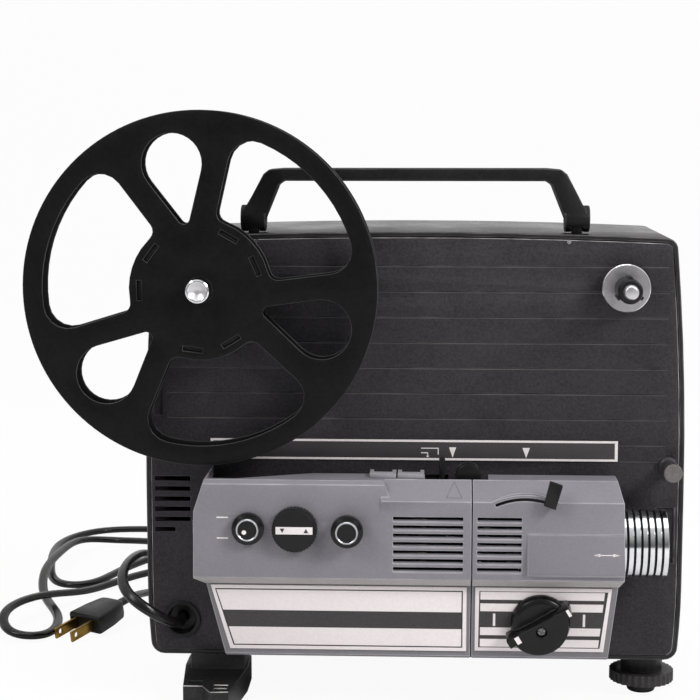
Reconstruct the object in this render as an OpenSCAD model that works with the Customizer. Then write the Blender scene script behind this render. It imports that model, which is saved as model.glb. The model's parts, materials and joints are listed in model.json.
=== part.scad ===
// Table-top cine projector for 8 mm film: case, reels, film drive, lamp, gate and zoom lens.
// Modelled with x = 0 at the case's left edge, y = 0 at the front panel's face and z = 0 at the floor,
// then moved so that the origin is the middle of its base.

/* [Case] */
// Width of the case
case_w = 278; // [270:1:290]
// Depth of the case behind the front panel's face
case_d = 110; // [104:1:130]
// Height of the case's crowned top above the floor
case_top = 245; // [242:1:252]
// Space between the floor and the case's base
foot_h = 22.5; // [21:0.5:26]
// Wall of the moulded case
case_wall = 2.5; // [2:0.1:3]
// How far each side leans in towards the top
side_taper = 5.5; // [3:0.5:7]
// Height at which the sides begin to lean in
side_break = 118; // [100:1:130]
// Rise of the top's crown
crown = 3.3; // [2:0.1:5]
// Radius of the upper corners
top_r = 6; // [4:0.5:8]
// Radius of the lower corners
base_r = 7; // [5:0.5:9]
// How far each side draws in towards the base
base_taper = 2; // [1:0.1:3]
// Setback of the case's rim behind the panel's face
rim_back = 0.8; // [0.4:0.1:1.5]
// Thickness of the front panel
panel_t = 3; // [2.5:0.1:4]
// Gap round the front panel
panel_gap = 0.3; // [0.2:0.05:0.5]
// Distance between the panel's moulded lines
line_pitch = 13.1; // [12:0.1:14]
// Number of moulded lines
line_count = 8; // [6:1:9]

/* [Reels] */
// Outer radius of the reel
reel_r = 89; // [84:0.5:92]
// Radius of the reel's winding core
core_r = 32.5; // [28:0.5:34]
// Bore radius of the reel
reel_bore_r = 6.35; // [6.3:0.05:6.6]
// Thickness of one flange
flange_t = 1.2; // [1:0.1:1.6]
// Space for the film between the flanges
film_space = 11.8; // [10:0.1:13]
// Distance from the panel to the reel
reel_gap = 11; // [9:0.5:13]
// Outer radius of a spindle
spindle_r = 6.1; // [5.6:0.05:6.2]
// Height of the spindles
spindle_z = 217.5; // [214:0.5:219]
// Distance of each spindle from the case's side
spindle_inset = 32.25; // [31:0.25:35]
// Radius of the drive discs behind the reels
disc_r = 12.2; // [11:0.1:14]

/* [Covers] */
// Left end of the grey covers
cover_l = 29.4; // [28:0.1:32]
// Right end of the grey covers
cover_r = 244.3; // [242:0.1:246]
// Split between the two covers
split_x = 168.6; // [167:0.1:170]
// Gap at the split
split_gap = 0.6; // [0.4:0.1:1]
// Depth of the covers in front of the panel
cover_d = 40; // [39:0.5:44]
// Height of the covers' top
cover_top = 123.5; // [122.5:0.5:124.5]
// Height of the covers' lower lip
lip_z = 70.5; // [69.5:0.5:71.5]
// Wall of the covers
cover_wall = 2; // [1.6:0.1:2.2]
// Depth of the label bezel at its top
bezel_top_d = 33; // [32:0.5:34]
// Depth of the label bezel at its bottom
bezel_low_d = 28; // [27:0.5:29]
// Height of the label bezel's bottom
bezel_low_z = 32; // [31:0.5:33]
// Film channel between the covers and the panel
film_gap = 11; // [9:0.5:12]
// Thickness of the label plates
plate_t = 0.8; // [0.6:0.1:1]
// Pitch of the lamp louvres
louvre_pitch = 4.25; // [4:0.05:4.4]
// Number of louvres in each group
louvre_count = 7; // [5:1:7]

/* [Lens] */
// Height of the optical axis
axis_z = 89.5; // [88.5:0.5:90.5]
// Distance of the optical axis in front of the panel
axis_d = 20; // [19.5:0.1:20.5]
// Outer radius of the focusing barrel
barrel_r = 13; // [12:0.1:13.2]
// Wall of the focusing barrel
barrel_wall = 2; // [1.5:0.1:2.5]
// Outer radius of the zoom ring
zoom_r = 17.3; // [17:0.1:17.6]
// Front end of the zoom ring
zoom_x = 266.2; // [265:0.1:268]
// Length of the zoom ring
zoom_len = 31; // [29:0.5:33]
// Ribs round the zoom ring
zoom_ribs = 9; // [7:1:10]

/* [Controls] */
// Radius of the control knob's dial
dial_r = 14.9; // [13:0.1:15.5]
// Radius of the framing knob
framer_r = 11.4; // [10:0.1:12]
// Radius of the speed knob and the loop button
skirt_r = 8; // [7:0.1:8.5]
// Travel of the loop button
button_travel = 4; // [3:0.5:5]
// Radius of the focus lever's slot
focus_arc_r = 36; // [35:0.5:37]
// Lean of the focus lever to the right at rest
focus_lean = 19; // [16:1:20]

/* [Handle] */
// Height of the handle's bar above the floor
handle_top = 277; // [274:1:284]
// Width of the handle at its pivots
handle_w = 178.7; // [172:0.1:184]
// Width of the handle at its bar
bar_w = 151; // [146:0.5:156]
// Thickness of the bar
bar_t = 6.5; // [5:0.5:8]
// Depth of the handle from front to back
handle_d = 12; // [10:0.5:13]
// Radius of the handle's pivot pins
pivot_r = 2; // [1.6:0.1:2.4]

/* [Drive] */
// Radius of the main shaft
shaft_r = 2.5; // [2:0.1:3]
// Radius of the flywheel
flywheel_r = 24; // [20:0.5:26]
// Radius of the motor's pulley
motor_pulley_r = 7; // [5:0.5:8]
// Radius of the motor's can
motor_r = 24; // [20:0.5:26]
// Length of the motor's can
motor_len = 50; // [40:1:52]
// Radius of the cooling fan
fan_r = 26; // [20:0.5:28]
// Blades of the cooling fan
fan_blades = 9; // [7:1:11]
// Radius of the film sprocket
sprocket_r = 6.2; // [5.8:0.1:6.4]
// Teeth of the film sprocket
sprocket_teeth = 12; // [10:1:12]
// Radius of the shutter drum
shutter_r = 9.5; // [8:0.1:10]
// Thickness of the belts
belt_t = 1; // [0.8:0.1:1.2]

/* [Feet] */
// Radius of the levelling wheel
wheel_r = 17; // [14:0.5:17]
// Height of the levelling foot's pad
pad_h = 5.7; // [5:0.1:6.5]
// Thickness of the levelling wheel
wheel_t = 5.9; // [5:0.1:7]
// Radius of the levelling screw
screw_post_r = 5; // [4:0.1:6]
// Travel of the levelling screw
foot_travel = 10; // [6:1:12]

/* [Cord] */
// Width of the twin lead
cord_d = 5.8; // [5.4:0.1:6.2]

/* [Fits] */
// Radial clearance of a shaft in its bush
run_clear = 0.05; // [0.03:0.01:0.08]
// Clearance between pieces that pass each other
pass_clear = 0.3; // [0.3:0.05:0.6]

/* [Hidden] */
$fn = 48;

eps = 0.02;
case_cx = case_w / 2;
takeup_x = spindle_inset;
supply_x = case_w - spindle_inset;
panel_back = panel_t;
reel_front = -reel_gap - 2 * flange_t - film_space;

// the drive stands behind the panel: plate, then the belts' three planes
plate_y = panel_back + 7;
steel_t = 2;
bush_len = 8;
bush_wall = 2.5;
main_x = 158;
main_z = axis_z;
sprocket_x = main_x + 9;
sprocket_z = cover_top - 0.2;
sprocket_shaft_r = 2;
motor_x = 95;
motor_z = 62;
small_pulley_r = 5;
sprocket_pulley_r = 15;
reel_pulley_r = 13;
belt_w = 4;
sprocket_belt_y = plate_y + steel_t + 4;
drive_belt_y = sprocket_belt_y + belt_w + 4;
takeup_belt_y = drive_belt_y + belt_w + 6;
rewind_belt_y = takeup_belt_y + belt_w + 3;
bridge_y = rewind_belt_y + belt_w + 3;
motor_y = takeup_belt_y;

// printed strip above the covers
strip_x = 33.8;
strip_w = 210.1;
strip_z = cover_top + 3.8;
strip_h = 11;
strip_t = 0.5;

// fixing points of the case and of the mechanism plate
screw_r = 1.6;
boss_r = 5;
boss_len = 13;
tunnel_r = 4.2;
tower_r = 6;
tower_floor = 2.5;
side_edge = 12;
low_fix_z = 66;
high_fix_z = case_top - 15;
fixings = [
    [side_edge, low_fix_z], [case_w - side_edge, low_fix_z],
    [side_edge + 1.5, high_fix_z], [case_w - side_edge - 1.5, high_fix_z]
];
plate_fix = [[40, 78], [case_w - 42, 78], [64, case_top - 19], [case_w - 62, case_top - 19]];

// the covers' label bezel leans back by this angle
bezel_lean = (bezel_top_d - bezel_low_d) / (lip_z - bezel_low_z);
bezel_tilt = atan(bezel_lean);
bezel_wall = cover_wall * (cos(bezel_tilt) + sin(bezel_tilt));
dial_x = 203.3;
dial_z = 51.3;
focus_x = 195;
focus_z = lip_z + 9;
focus_arm_t = 1.5;
focus_arm_y = -cover_d + cover_wall + pass_clear;
focus_stud_r = 2;
speed_x = 57.3;
framer_x = 80.6;
button_x = 106.8;
control_z = 100;
stem_r = 2.5;
button_front = -cover_d - 6.7 - button_travel;

gauge_x = 152.2;
gauge_z = 118;
gauge_t = 3;
gauge_travel = 6;

pivot_y = 12.8;
eye_r = 6.8;
pivot_z = case_top + handle_d / 2 + pass_clear;
roller_x = case_w - 8.6;
roller_z = 125.7;
foot_x = case_w - 17.4;
foot_y = 22;
wheel_z = pad_h + pass_clear;
grommet_x = 18;
grommet_z = 41.5;
grommet_r = 8.8;

// middle of the object's base, without the cord
origin = [(takeup_x - reel_r + case_w) / 2, (button_front + case_d) / 2, 0];

// Places a module in the part's own frame
module placed() { translate(-origin) children(); }

// A flat shape in x and z, given its thickness from y0 back to y1
module along_y(y0, y1) { translate([0, y1, 0]) rotate([90, 0, 0]) linear_extrude(y1 - y0) children(); }

// A flat shape in y and z, given its thickness from x0 to x1
module along_x(x0, x1) { translate([x0, 0, 0]) rotate([90, 0, 90]) linear_extrude(x1 - x0) children(); }

// A round bar from y0 back to y1
module rod_y(x, z, r, y0, y1) { translate([x, y1, z]) rotate([90, 0, 0]) cylinder(r = r, h = y1 - y0); }

// A round bar from x0 to x1
module rod_x(y, z, r, x0, x1) { translate([x0, y, z]) rotate([0, 90, 0]) cylinder(r = r, h = x1 - x0); }

// A profile of radius and distance forward of y = 0, turned about an axis along y
module turned_y(x, z) { translate([x, 0, z]) rotate([90, 0, 0]) rotate_extrude() children(); }

// A profile of radius and distance along +x, turned about the optical axis
module turned_x() { translate([0, -axis_d, axis_z]) rotate([0, 90, 0]) rotate_extrude() children(); }

function arc(cx, cy, r, a0, a1, n) = [
    for (i = [0:n]) let (a = a0 + (a1 - a0) * i / n) [cx + r * cos(a), cy + r * sin(a)]
];

// Knurled rim of radius r with n grooves of the given depth
function knurl(r, depth, n) = [
    for (i = [0:2 * n - 1]) (r - depth * (i % 2)) * [cos(180 / n * i), sin(180 / n * i)]
];

// Outline of the case from the front, set in by t
function lean_end() = case_top - crown - top_r;
function lean(z) = side_taper * pow(max(0, z - side_break) / (lean_end() - side_break), 2);
base_break = 62;
function draw_in(z) = base_taper * pow(max(0, base_break - z) / (base_break - foot_h), 2);
function crown_z(x) = case_top - crown * pow((x - case_cx) / case_cx, 2);
function case_half(t) = let (
    rt = max(1, top_r - t), rb = max(1, base_r - t), half = case_cx - t,
    corner_x = half - side_taper - rt, corner_z = crown_z(case_cx + corner_x) - t - rt
) concat(
    arc(half - rb - draw_in(foot_h + t + rb), foot_h + t + rb, rb, 270, 360, 5),
    [for (i = [1:3]) let (z = foot_h + t + rb + (base_break - foot_h - t - rb) * i / 3)
        [half - draw_in(z), z]],
    [for (i = [0:5]) let (z = side_break + (corner_z - side_break) * i / 5)
        [half - lean(min(z, lean_end())), z]],
    arc(corner_x, corner_z, rt, 15, 90, 4),
    [for (i = [1:5]) let (x = corner_x * (1 - i / 5)) [x, crown_z(case_cx + x) - t]]
);
function case_outline(t) = let (half = case_half(t), n = len(half)) [
    for (i = [0:2 * n - 2]) i < n ? [case_cx + half[i].x, half[i].y]
        : [case_cx - half[2 * n - 2 - i].x, half[2 * n - 2 - i].y]
];

// Moulded tub: sides and back in one, with screw towers and a cooling grille behind the motor
module main_case() color("#2b2a2c") placed() {
    difference() {
        along_y(rim_back, case_d) polygon(case_outline(0));
        along_y(rim_back - 1, case_d - case_wall) polygon(case_outline(case_wall));
        for (f = fixings) rod_y(f.x, f.y, tunnel_r, case_d - 2 * case_wall, case_d + 1);
        translate([foot_x, foot_y, foot_h - 1]) cylinder(r = screw_post_r + pass_clear, h = case_wall + 2);
        for (i = [0:8]) translate([motor_x - 32, case_d - case_wall - 1, motor_z - 22 + 6 * i])
            cube([64, case_wall + 2, 2.6]);
    }
    for (f = fixings) difference() {
        rod_y(f.x, f.y, tower_r, panel_back + boss_len, case_d - case_wall);
        rod_y(f.x, f.y, screw_r + pass_clear, panel_back, case_d);
        rod_y(f.x, f.y, tunnel_r, panel_back + boss_len + tower_floor, case_d);
    }
    // threaded collar of the levelling foot
    difference() {
        translate([foot_x, foot_y, wheel_z + wheel_t + pass_clear])
            cylinder(r = 11, h = foot_h - wheel_z - wheel_t - pass_clear + eps);
        translate([foot_x, foot_y, 0]) cylinder(r = screw_post_r + run_clear, h = foot_h + 1);
    }
}

// Flat front panel with moulded lines, side vents and the openings of the shafts
module front_panel() color("#38363a") placed() {
    vent_pitch = 5.4;
    line_w = 0.6;
    line_cut = 0.4;
    difference() {
        union() {
            along_y(0, panel_back) polygon(case_outline(case_wall + panel_gap));
            for (f = fixings) rod_y(f.x, f.y, boss_r, panel_back - eps, panel_back + boss_len);
            for (f = plate_fix) rod_y(f.x, f.y, 4, panel_back - eps, plate_y);
        }
        for (f = fixings) rod_y(f.x, f.y, screw_r, panel_back + 1, panel_back + boss_len + 1);
        // moulded lines, and a short one beside the printed strip
        for (i = [0:line_count - 1]) translate([side_edge, -1, case_top - 17.7 - line_pitch * i])
            cube([case_w - 2 * side_edge + 2, 1 + line_cut, line_w]);
        translate([strip_x + strip_w + 1, -1, strip_z])
            cube([case_w - side_edge + 1 - strip_x - strip_w, 1 + line_cut, line_w]);
        // cooling slots at the left, the lowest one shorter
        for (i = [0:5]) translate([4.6, -1, 88.4 + vent_pitch * i])
            cube([i == 0 ? 10.5 : 18.5, panel_t + 2, 2.4]);
        // latch recess of the lid
        translate([4.6, -1, 150]) cube([4.6, 2.5, 36]);
        // clearance of the lens at the right edge
        translate([case_w - 14, -1, axis_z - 15]) cube([9.4, 2.5, 29]);
        rod_y(takeup_x, spindle_z, spindle_r + 1, -1, panel_back + 1);
        rod_y(supply_x, spindle_z, spindle_r + 1, -1, panel_back + 1);
        rod_y(main_x, main_z, shaft_r + 1.5, -1, panel_back + 1);
        rod_y(sprocket_x, sprocket_z, sprocket_shaft_r + 0.4, -1, panel_back + 1);
        rod_y(roller_x, roller_z, 2, -1, panel_back + 1);
        rod_y(grommet_x, grommet_z, grommet_r, -1, panel_back + 1);
        // slot of the film gauge lever
        translate([gauge_x - gauge_travel - 2, -1, gauge_z - gauge_t / 2 - pass_clear])
            cube([gauge_travel + gauge_t + 4, panel_t + 2, gauge_t + 2 * pass_clear]);
    }
}

// Long screws that hold the tub to the panel
module case_screws() color("silver") placed() for (f = fixings) {
    seat = panel_back + boss_len + tower_floor;
    rod_y(f.x, f.y, screw_r, panel_back + 3, seat + eps);
    difference() {
        rod_y(f.x, f.y, tunnel_r - 0.4, seat, seat + 2.5);
        translate([f.x - 0.5, seat + 1.5, f.y - 3]) cube([1, 2, 6]);
    }
}

// Printed strip above the covers
module legend_strip() color("#1c1b1c") placed()
    translate([strip_x, -strip_t, strip_z]) cube([strip_w, strip_t, strip_h]);

// Profiles of the covers in y and z, set in by t: the control side, then the lamp side
control_bend = cover_top - 15.5;
lamp_bend = cover_top - 9.5;
lamp_slope_d = 9;
lip_chamfer = 4;
function bezel_y(z, t) = -bezel_low_d - bezel_lean * (z - bezel_low_z) + t;
function cover_low(t) = [
    [t, bezel_low_z - 2.5 + t], [-bezel_low_d + 2 + t, bezel_low_z - 1.5 + t],
    [bezel_y(bezel_low_z, t), bezel_low_z + t], [bezel_y(lip_z, t), lip_z + t],
    [-cover_d + lip_chamfer + t, lip_z + t], [-cover_d + t, lip_z + lip_chamfer + t]
];
function control_profile(t) = concat(cover_low(t), [
    [-cover_d + t, control_bend], [-cover_d + 3 + t, cover_top - 2 - t],
    [-cover_d + 5 + t, cover_top - t],
    [t, cover_top - t]
]);
function lamp_profile(t) = concat(cover_low(t), [
    [-cover_d + t, lamp_bend - t / 2], [-cover_d + lamp_slope_d + t, cover_top - t], [t, cover_top - t]
]);

// Outlines of the covers from the front, set in by t
control_end_x = 127.5;
entry_x = 145;
exit_x = cover_l + 21;
exit_d = cover_d - 8;
exit_run = 38;
channel_d = film_gap + 6;
apron_end = bezel_low_z - 4;
above = cover_top + 1;
function gate_outline(t, x1) = [
    [cover_l + 5.6 + t, above], [cover_l + 0.4 + t, control_bend], [cover_l + t, lip_z + 3],
    [cover_l + 5.5 + t, lip_z], [cover_l + 15.5 + t, apron_end],
    [x1, apron_end], [x1, lamp_bend + 1], [x1 - (x1 < split_x - 10 ? 3 : 0), above]
];
function lens_outline(t, x0) = [
    [x0, above], [x0, apron_end], [cover_r - 6.9 - t, apron_end], [cover_r - 2.3 - t, lip_z],
    [cover_r - t, lip_z + lip_chamfer], [cover_r - 0.7 - t, lamp_bend - 0.5], [cover_r - 3.7 - t, above]
];
module cover_block(t, x0, x1, profile, outline) intersection() {
    along_x(x0, x1) polygon(profile);
    along_y(-cover_d - 1, t > 0 ? t + 1 : 0) polygon(outline);
}

// Opening through a cover's top from x0 to x1, reaching d forward of the panel
module top_cut(x0, x1, d)
    translate([x0, -d, cover_top - 2 * cover_wall]) cube([x1 - x0, d + 1, 2 * cover_wall + 1]);

// Louvre slots with a sloping lower edge
module louvres(x, w) for (i = [0:louvre_count - 1])
    translate([x, -cover_d - 1, lip_z + 8.5 + louvre_pitch * i]) along_x(0, w)
        polygon([[0, -0.9], [cover_wall + 2, 0.6], [cover_wall + 2, 1.7], [0, 1.7]]);

// Grey cover of the film path and the lamp, with the film's entry and exit
module gate_cover() color("#808083") placed() {
    end = split_x - split_gap / 2;
    difference() {
        union() {
            cover_block(0, cover_l - 1, control_end_x, control_profile(0),
                gate_outline(0, control_end_x));
            cover_block(0, control_end_x - 4, end, lamp_profile(0), gate_outline(0, end));
        }
        cover_block(cover_wall, cover_l, control_end_x, control_profile(cover_wall),
            gate_outline(cover_wall, control_end_x + 1));
        cover_block(cover_wall, control_end_x - 4, end + 1, lamp_profile(cover_wall),
            gate_outline(cover_wall, end + 1));
        // film channel along the panel, wider where the film goes in and out
        top_cut(cover_l + 6, exit_x, exit_d);
        translate([0, 0, cover_top - 2 * cover_wall]) linear_extrude(2 * cover_wall + 1)
            polygon([
                [exit_x - eps, 1], [exit_x - eps, -exit_d], [exit_x + exit_run, -channel_d],
                [end + 1, -channel_d], [end + 1, 1]
            ]);
        top_cut(entry_x, end + 1, cover_d - lamp_slope_d - 1);
        louvres(129.4, 34.8);
        for (x = [speed_x, framer_x, button_x])
            rod_y(x, control_z, stem_r + 2, -cover_d - 1, -cover_d + cover_wall + 1);
    }
}

// Grey cover of the lens, with the focus slot, the dial's shaft and the opening of the zoom ring
module lens_cover() color("#808083") placed() {
    start = split_x + split_gap / 2;
    difference() {
        union() {
            cover_block(0, start, cover_r + 1, lamp_profile(0), lens_outline(0, start));
            // swelling in front of the lens, with a step along its top
            intersection() {
                along_x(196.3, cover_r) polygon([
                    [-cover_d + 1, axis_z + 9], [-cover_d - 0.6, axis_z + 8.6],
                    [-cover_d - 2.8, lip_z + 10],
                    [-cover_d - 2, lip_z + 7], [-cover_d + 1, lip_z + 6]
                ]);
                along_y(-cover_d - 4, 0) polygon(lens_outline(0, start));
            }
            // flat rise in the slope, for the focus slot
            along_y(-cover_d, -cover_d + lamp_slope_d / 2)
                focus_sector(focus_arc_r - 4, focus_arc_r + 2.4, 3);
        }
        cover_block(cover_wall, start - 1, cover_r, lamp_profile(cover_wall),
            lens_outline(cover_wall, start - 1));
        top_cut(start - 1, cover_r - 1, channel_d);
        top_cut(start - 1, start + 8, cover_d - lamp_slope_d - 1);
        louvres(171.2, 22);
        along_y(-cover_d - 1, -cover_d + cover_wall + 1)
            focus_sector(focus_arc_r - slot_half, focus_arc_r + slot_half, 0);
        along_y(-cover_d + cover_wall, -cover_d + lamp_slope_d)
            focus_sector(focus_arc_r - 4, focus_arc_r + 1.1, 1.5);
        rod_x(-axis_d, axis_z, zoom_r + 2 * pass_clear, cover_r - 6, cover_r + 1);
        on_bezel(dial_x, dial_z) rod_y(0, 0, stem_r + 1, -4, cover_wall + 3);
    }
}

// Band of the arc that the focus lever swings in, from radius r0 to r1
slot_half = 0.8;
slot_swing = focus_lean + 5.5;
module focus_sector(r0, r1, more) translate([focus_x, focus_z]) polygon(concat(
    arc(0, 0, r1, 90 - slot_swing - more, 90 + slot_swing + more, 12),
    arc(0, 0, r0, 90 + slot_swing + more, 90 - slot_swing - more, 12)
));

// Local frame on the label bezel: y = 0 is its face and -y points out of it
module on_bezel(x, z) translate([x, bezel_y(z, 0), z]) rotate([bezel_tilt, 0, 0]) children();

// A printed plate on the bezel, given by its corners on the slope
module bezel_plate(corners) on_bezel(0, dial_z) along_y(-plate_t, -eps)
    polygon([for (c = corners) [c.x, (c.y - dial_z) / cos(bezel_tilt)]]);

// Printed plate on the left cover
module name_plate() color("#e4dcdc") placed() {
    low = bezel_low_z + 3;
    high = lip_z - 1.2;
    end = split_x - 2.3;
    bezel_plate([[cover_l + 8, high], [cover_l + 17.2, low], [end, low], [end, high]]);
}

// Printed plate round the control knob
module control_plate() color("#e4dcdc") placed() {
    low = bezel_low_z + 3.4;
    high = lip_z - 1.2;
    difference() {
        bezel_plate([[split_x + 2, high], [split_x + 2, low], [cover_r - 9, low], [cover_r - 5.5, high]]);
        on_bezel(dial_x, dial_z) rod_y(0, 0, stem_r + 1, -4, 4);
    }
}

// Film guide blocks on the cover's top
guide_w = 13.3;
guide_d = 12;
guide_h = 2.2;
module film_guide() color("#8a8a8d") placed() for (x = [117.3, 131.4]) difference() {
    translate([x, -channel_d - guide_d, cover_top]) cube([guide_w, guide_d, guide_h]);
    translate([x + 2, -channel_d - guide_d / 2, cover_top + guide_h / 2])
        cube([guide_w - 4, guide_d, guide_h]);
}

// Steel plate that carries the shafts and, on studs, the motor
module mechanism_plate() color("#b4b6b8") placed() {
    difference() {
        along_y(plate_y, plate_y + steel_t) polygon([
            [24, 62], [60, 36], [case_w - 32, 36], [case_w - 22, 46],
            [case_w - 22, case_top - 22], [case_w - 30, case_top - 13], [38, case_top - 13],
            [22, case_top - 22]
        ]);
        for (s = shafts)
            rod_y(s[0], s[1], s[2] + run_clear + bush_wall, plate_y - 1, plate_y + steel_t + 1);
        along_y(plate_y - 1, plate_y + steel_t + 1) polygon(concat(
            arc(185, 160, 14, -60, 90, 6), arc(110, 160, 14, 90, 240, 6)
        ));
    }
    for (a = [30, 150, 270])
        rod_y(motor_x + 19 * cos(a), motor_z + 19 * sin(a) , 3, plate_y + steel_t - eps, motor_y);
}

// x, z and radius of each shaft in the plate
shafts = [
    [main_x, main_z, shaft_r], [sprocket_x, sprocket_z, sprocket_shaft_r],
    [takeup_x, spindle_z, shaft_r], [supply_x, spindle_z, shaft_r]
];

// Sintered bushes with a flange on the front of the plate
module shaft_bushes() color("#b08d4a") placed() for (s = shafts) difference() {
    union() {
        rod_y(s[0], s[1], s[2] + run_clear + bush_wall, plate_y - 2, plate_y + bush_len - 5);
        rod_y(s[0], s[1], s[2] + run_clear + bush_wall + 1.6, plate_y - 2, plate_y);
    }
    rod_y(s[0], s[1], s[2] + run_clear, plate_y - 3, plate_y + bush_len);
}

// Bridge on two posts that carries the main shaft's rear end
module bearing_bridge() color("#b4b6b8") placed() {
    posts = [[main_x + 28, main_z - 19.5], [main_x - 13, main_z + 33.5]];
    difference() {
        along_y(bridge_y, bridge_y + steel_t) polygon([
            [main_x - 8, main_z - 6], [main_x + 21, main_z - 25.5], [main_x + 34, main_z - 25.5],
            [main_x + 34, main_z - 13.5], [main_x - 6, main_z + 40.5], [main_x - 19, main_z + 38.5],
            [main_x - 20, main_z + 28.5]
        ]);
        rod_y(main_x, main_z, shaft_r + run_clear, bridge_y - 1, bridge_y + steel_t + 1);
    }
    for (p = posts) rod_y(p.x, p.y, 2.5, plate_y + steel_t, bridge_y + eps);
}

// Closed motor can with its bearing hub
module drive_motor() color("#6f7275") placed() difference() {
    union() {
        rod_y(motor_x, motor_z, motor_r, motor_y, motor_y + motor_len);
        rod_y(motor_x, motor_z, motor_r + 1.2, motor_y + 8, motor_y + 14);
        rod_y(motor_x, motor_z, motor_r + 1.2, motor_y + motor_len - 14, motor_y + motor_len - 8);
    }
    rod_y(motor_x, motor_z, shaft_r + run_clear, motor_y - 1, motor_y + motor_len + 1);
}

// Motor shaft with its pulley in front
module motor_shaft() color("silver") placed() {
    rod_y(motor_x, motor_z, shaft_r, drive_belt_y - 2, motor_y + motor_len + 18);
    pulley(motor_x, motor_z, motor_pulley_r, drive_belt_y);
}

// Radial fan on the motor's rear shaft
module cooling_fan() color("#3f4245") placed() {
    y0 = motor_y + motor_len + 3;
    difference() {
        union() {
            rod_y(motor_x, motor_z, fan_r, y0, y0 + 1.5);
            rod_y(motor_x, motor_z, 6, y0, y0 + 12);
            for (i = [0:fan_blades - 1]) translate([motor_x, 0, motor_z])
                rotate([0, 360 / fan_blades * i, 0])
                translate([5, y0 + 1, -0.6]) cube([fan_r - 5.5, 13, 1.2]);
        }
        rod_y(motor_x, motor_z, shaft_r, y0 - 1, y0 + 20);
    }
}

// Flanged pulley with a belt track of radius r
module pulley(x, z, r, y) {
    rod_y(x, z, r, y - 1, y + belt_w + 1);
    for (d = [-2, belt_w + 1]) rod_y(x, z, r + 2, y + d, y + d + 1);
}

// Closed loop round two circles of radius rp and rq
function loop_points(p, q, rp, rq) = let (
    dir = atan2(q.y - p.y, q.x - p.x), a = acos((rp - rq) / norm(q - p))
) concat(
    arc(q.x, q.y, rq, dir - a, dir + a, loop_steps),
    arc(p.x, p.y, rp, dir + a, dir + 360 - a, loop_steps)
);
loop_steps = 20;
module belt(p, q, rp, rq, y) along_y(y, y + belt_w) difference() {
    polygon(loop_points(p, q, rp + pass_clear + belt_t, rq + pass_clear + belt_t));
    polygon(loop_points(p, q, rp + pass_clear, rq + pass_clear));
}

// Flat belt from the motor to the flywheel
module drive_belt() color("#242424") placed()
    belt([motor_x, motor_z], [main_x, main_z], motor_pulley_r, flywheel_r, drive_belt_y);

// Flat belt from the main shaft to the film sprocket
module sprocket_belt() color("#242424") placed()
    belt([main_x, main_z], [sprocket_x, sprocket_z], small_pulley_r, sprocket_pulley_r, sprocket_belt_y);

// Belts from the main shaft to the two reel spindles
module reel_belts() color("#242424") placed() {
    belt([main_x, main_z], [takeup_x, spindle_z], small_pulley_r, reel_pulley_r, takeup_belt_y);
    belt([main_x, main_z], [supply_x, spindle_z], small_pulley_r, reel_pulley_r, rewind_belt_y);
}

// Main shaft with its three small pulleys
module main_shaft() color("silver") placed() {
    rod_y(main_x, main_z, shaft_r, -axis_d + shutter_r + 2, bridge_y + steel_t + 1);
    for (y = [sprocket_belt_y, takeup_belt_y, rewind_belt_y]) pulley(main_x, main_z, small_pulley_r, y);
}

// Flywheel that doubles as the main pulley
module flywheel() color("#8c8f92") placed() difference() {
    pulley(main_x, main_z, flywheel_r, drive_belt_y);
    rod_y(main_x, main_z, shaft_r, 0, bridge_y);
    for (a = [0:60:300]) rod_y(main_x + 14 * cos(a), main_z + 14 * sin(a), 4, 0, bridge_y);
}

// Drum shutter: two windows pass the light twice in each turn
module drum_shutter() color("#2f3133") placed() {
    back = -axis_d + shutter_r + 4;
    front = -axis_d - shutter_r;
    difference() {
        rod_y(main_x, main_z, shutter_r, front, back);
        rod_y(main_x, main_z, shutter_r - 0.9, front - 1, back - 1.5);
        rod_y(main_x, main_z, shaft_r, front, back + 1);
        translate([main_x - shutter_r - 1, front + 3, main_z - 5]) cube([2 * shutter_r + 2, 12, 10]);
    }
}

// Film sprocket with its shaft and pulley
module film_sprocket() color("#1e1e1f") placed() {
    front = -film_gap - 12;
    pitch_y = 8.4;
    rod_y(sprocket_x, sprocket_z, sprocket_r, front, front + 2);
    rod_y(sprocket_x, sprocket_z, sprocket_r - 1.4, front, front + pitch_y);
    rod_y(sprocket_x, sprocket_z, sprocket_r, front + pitch_y - 1.6, front + pitch_y + 2);
    rod_y(sprocket_x, sprocket_z, sprocket_shaft_r, front + pitch_y, sprocket_belt_y + belt_w + 2);
    pulley(sprocket_x, sprocket_z, sprocket_pulley_r, sprocket_belt_y);
    for (i = [0:sprocket_teeth - 1]) translate([sprocket_x, 0, sprocket_z])
        rotate([0, 360 / sprocket_teeth * i, 0])
        translate([sprocket_r - 0.4, front + pitch_y - 1, -0.45]) cube([1, 0.9, 0.9]);
}

// Shaft of a reel: bright, with its pulley behind the plate
module reel_shaft(x, y0, pulley_y) {
    rod_y(x, spindle_z, shaft_r, y0, pulley_y + belt_w + 3);
    pulley(x, spindle_z, reel_pulley_r, pulley_y);
}

// Take-up spindle with a dished bright end
module takeup_spindle() color("#d8d9da") placed() {
    tip = -reel_front + 9.8;
    reel_shaft(takeup_x, reel_front, takeup_belt_y);
    turned_y(takeup_x, spindle_z) polygon([
        [0, reel_gap - 2], [spindle_r, reel_gap - 2], [spindle_r, tip - 1], [spindle_r - 0.8, tip],
        [spindle_r - 1.6, tip], [1.2, tip - 2.2], [0, tip - 2.2]
    ]);
}

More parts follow.
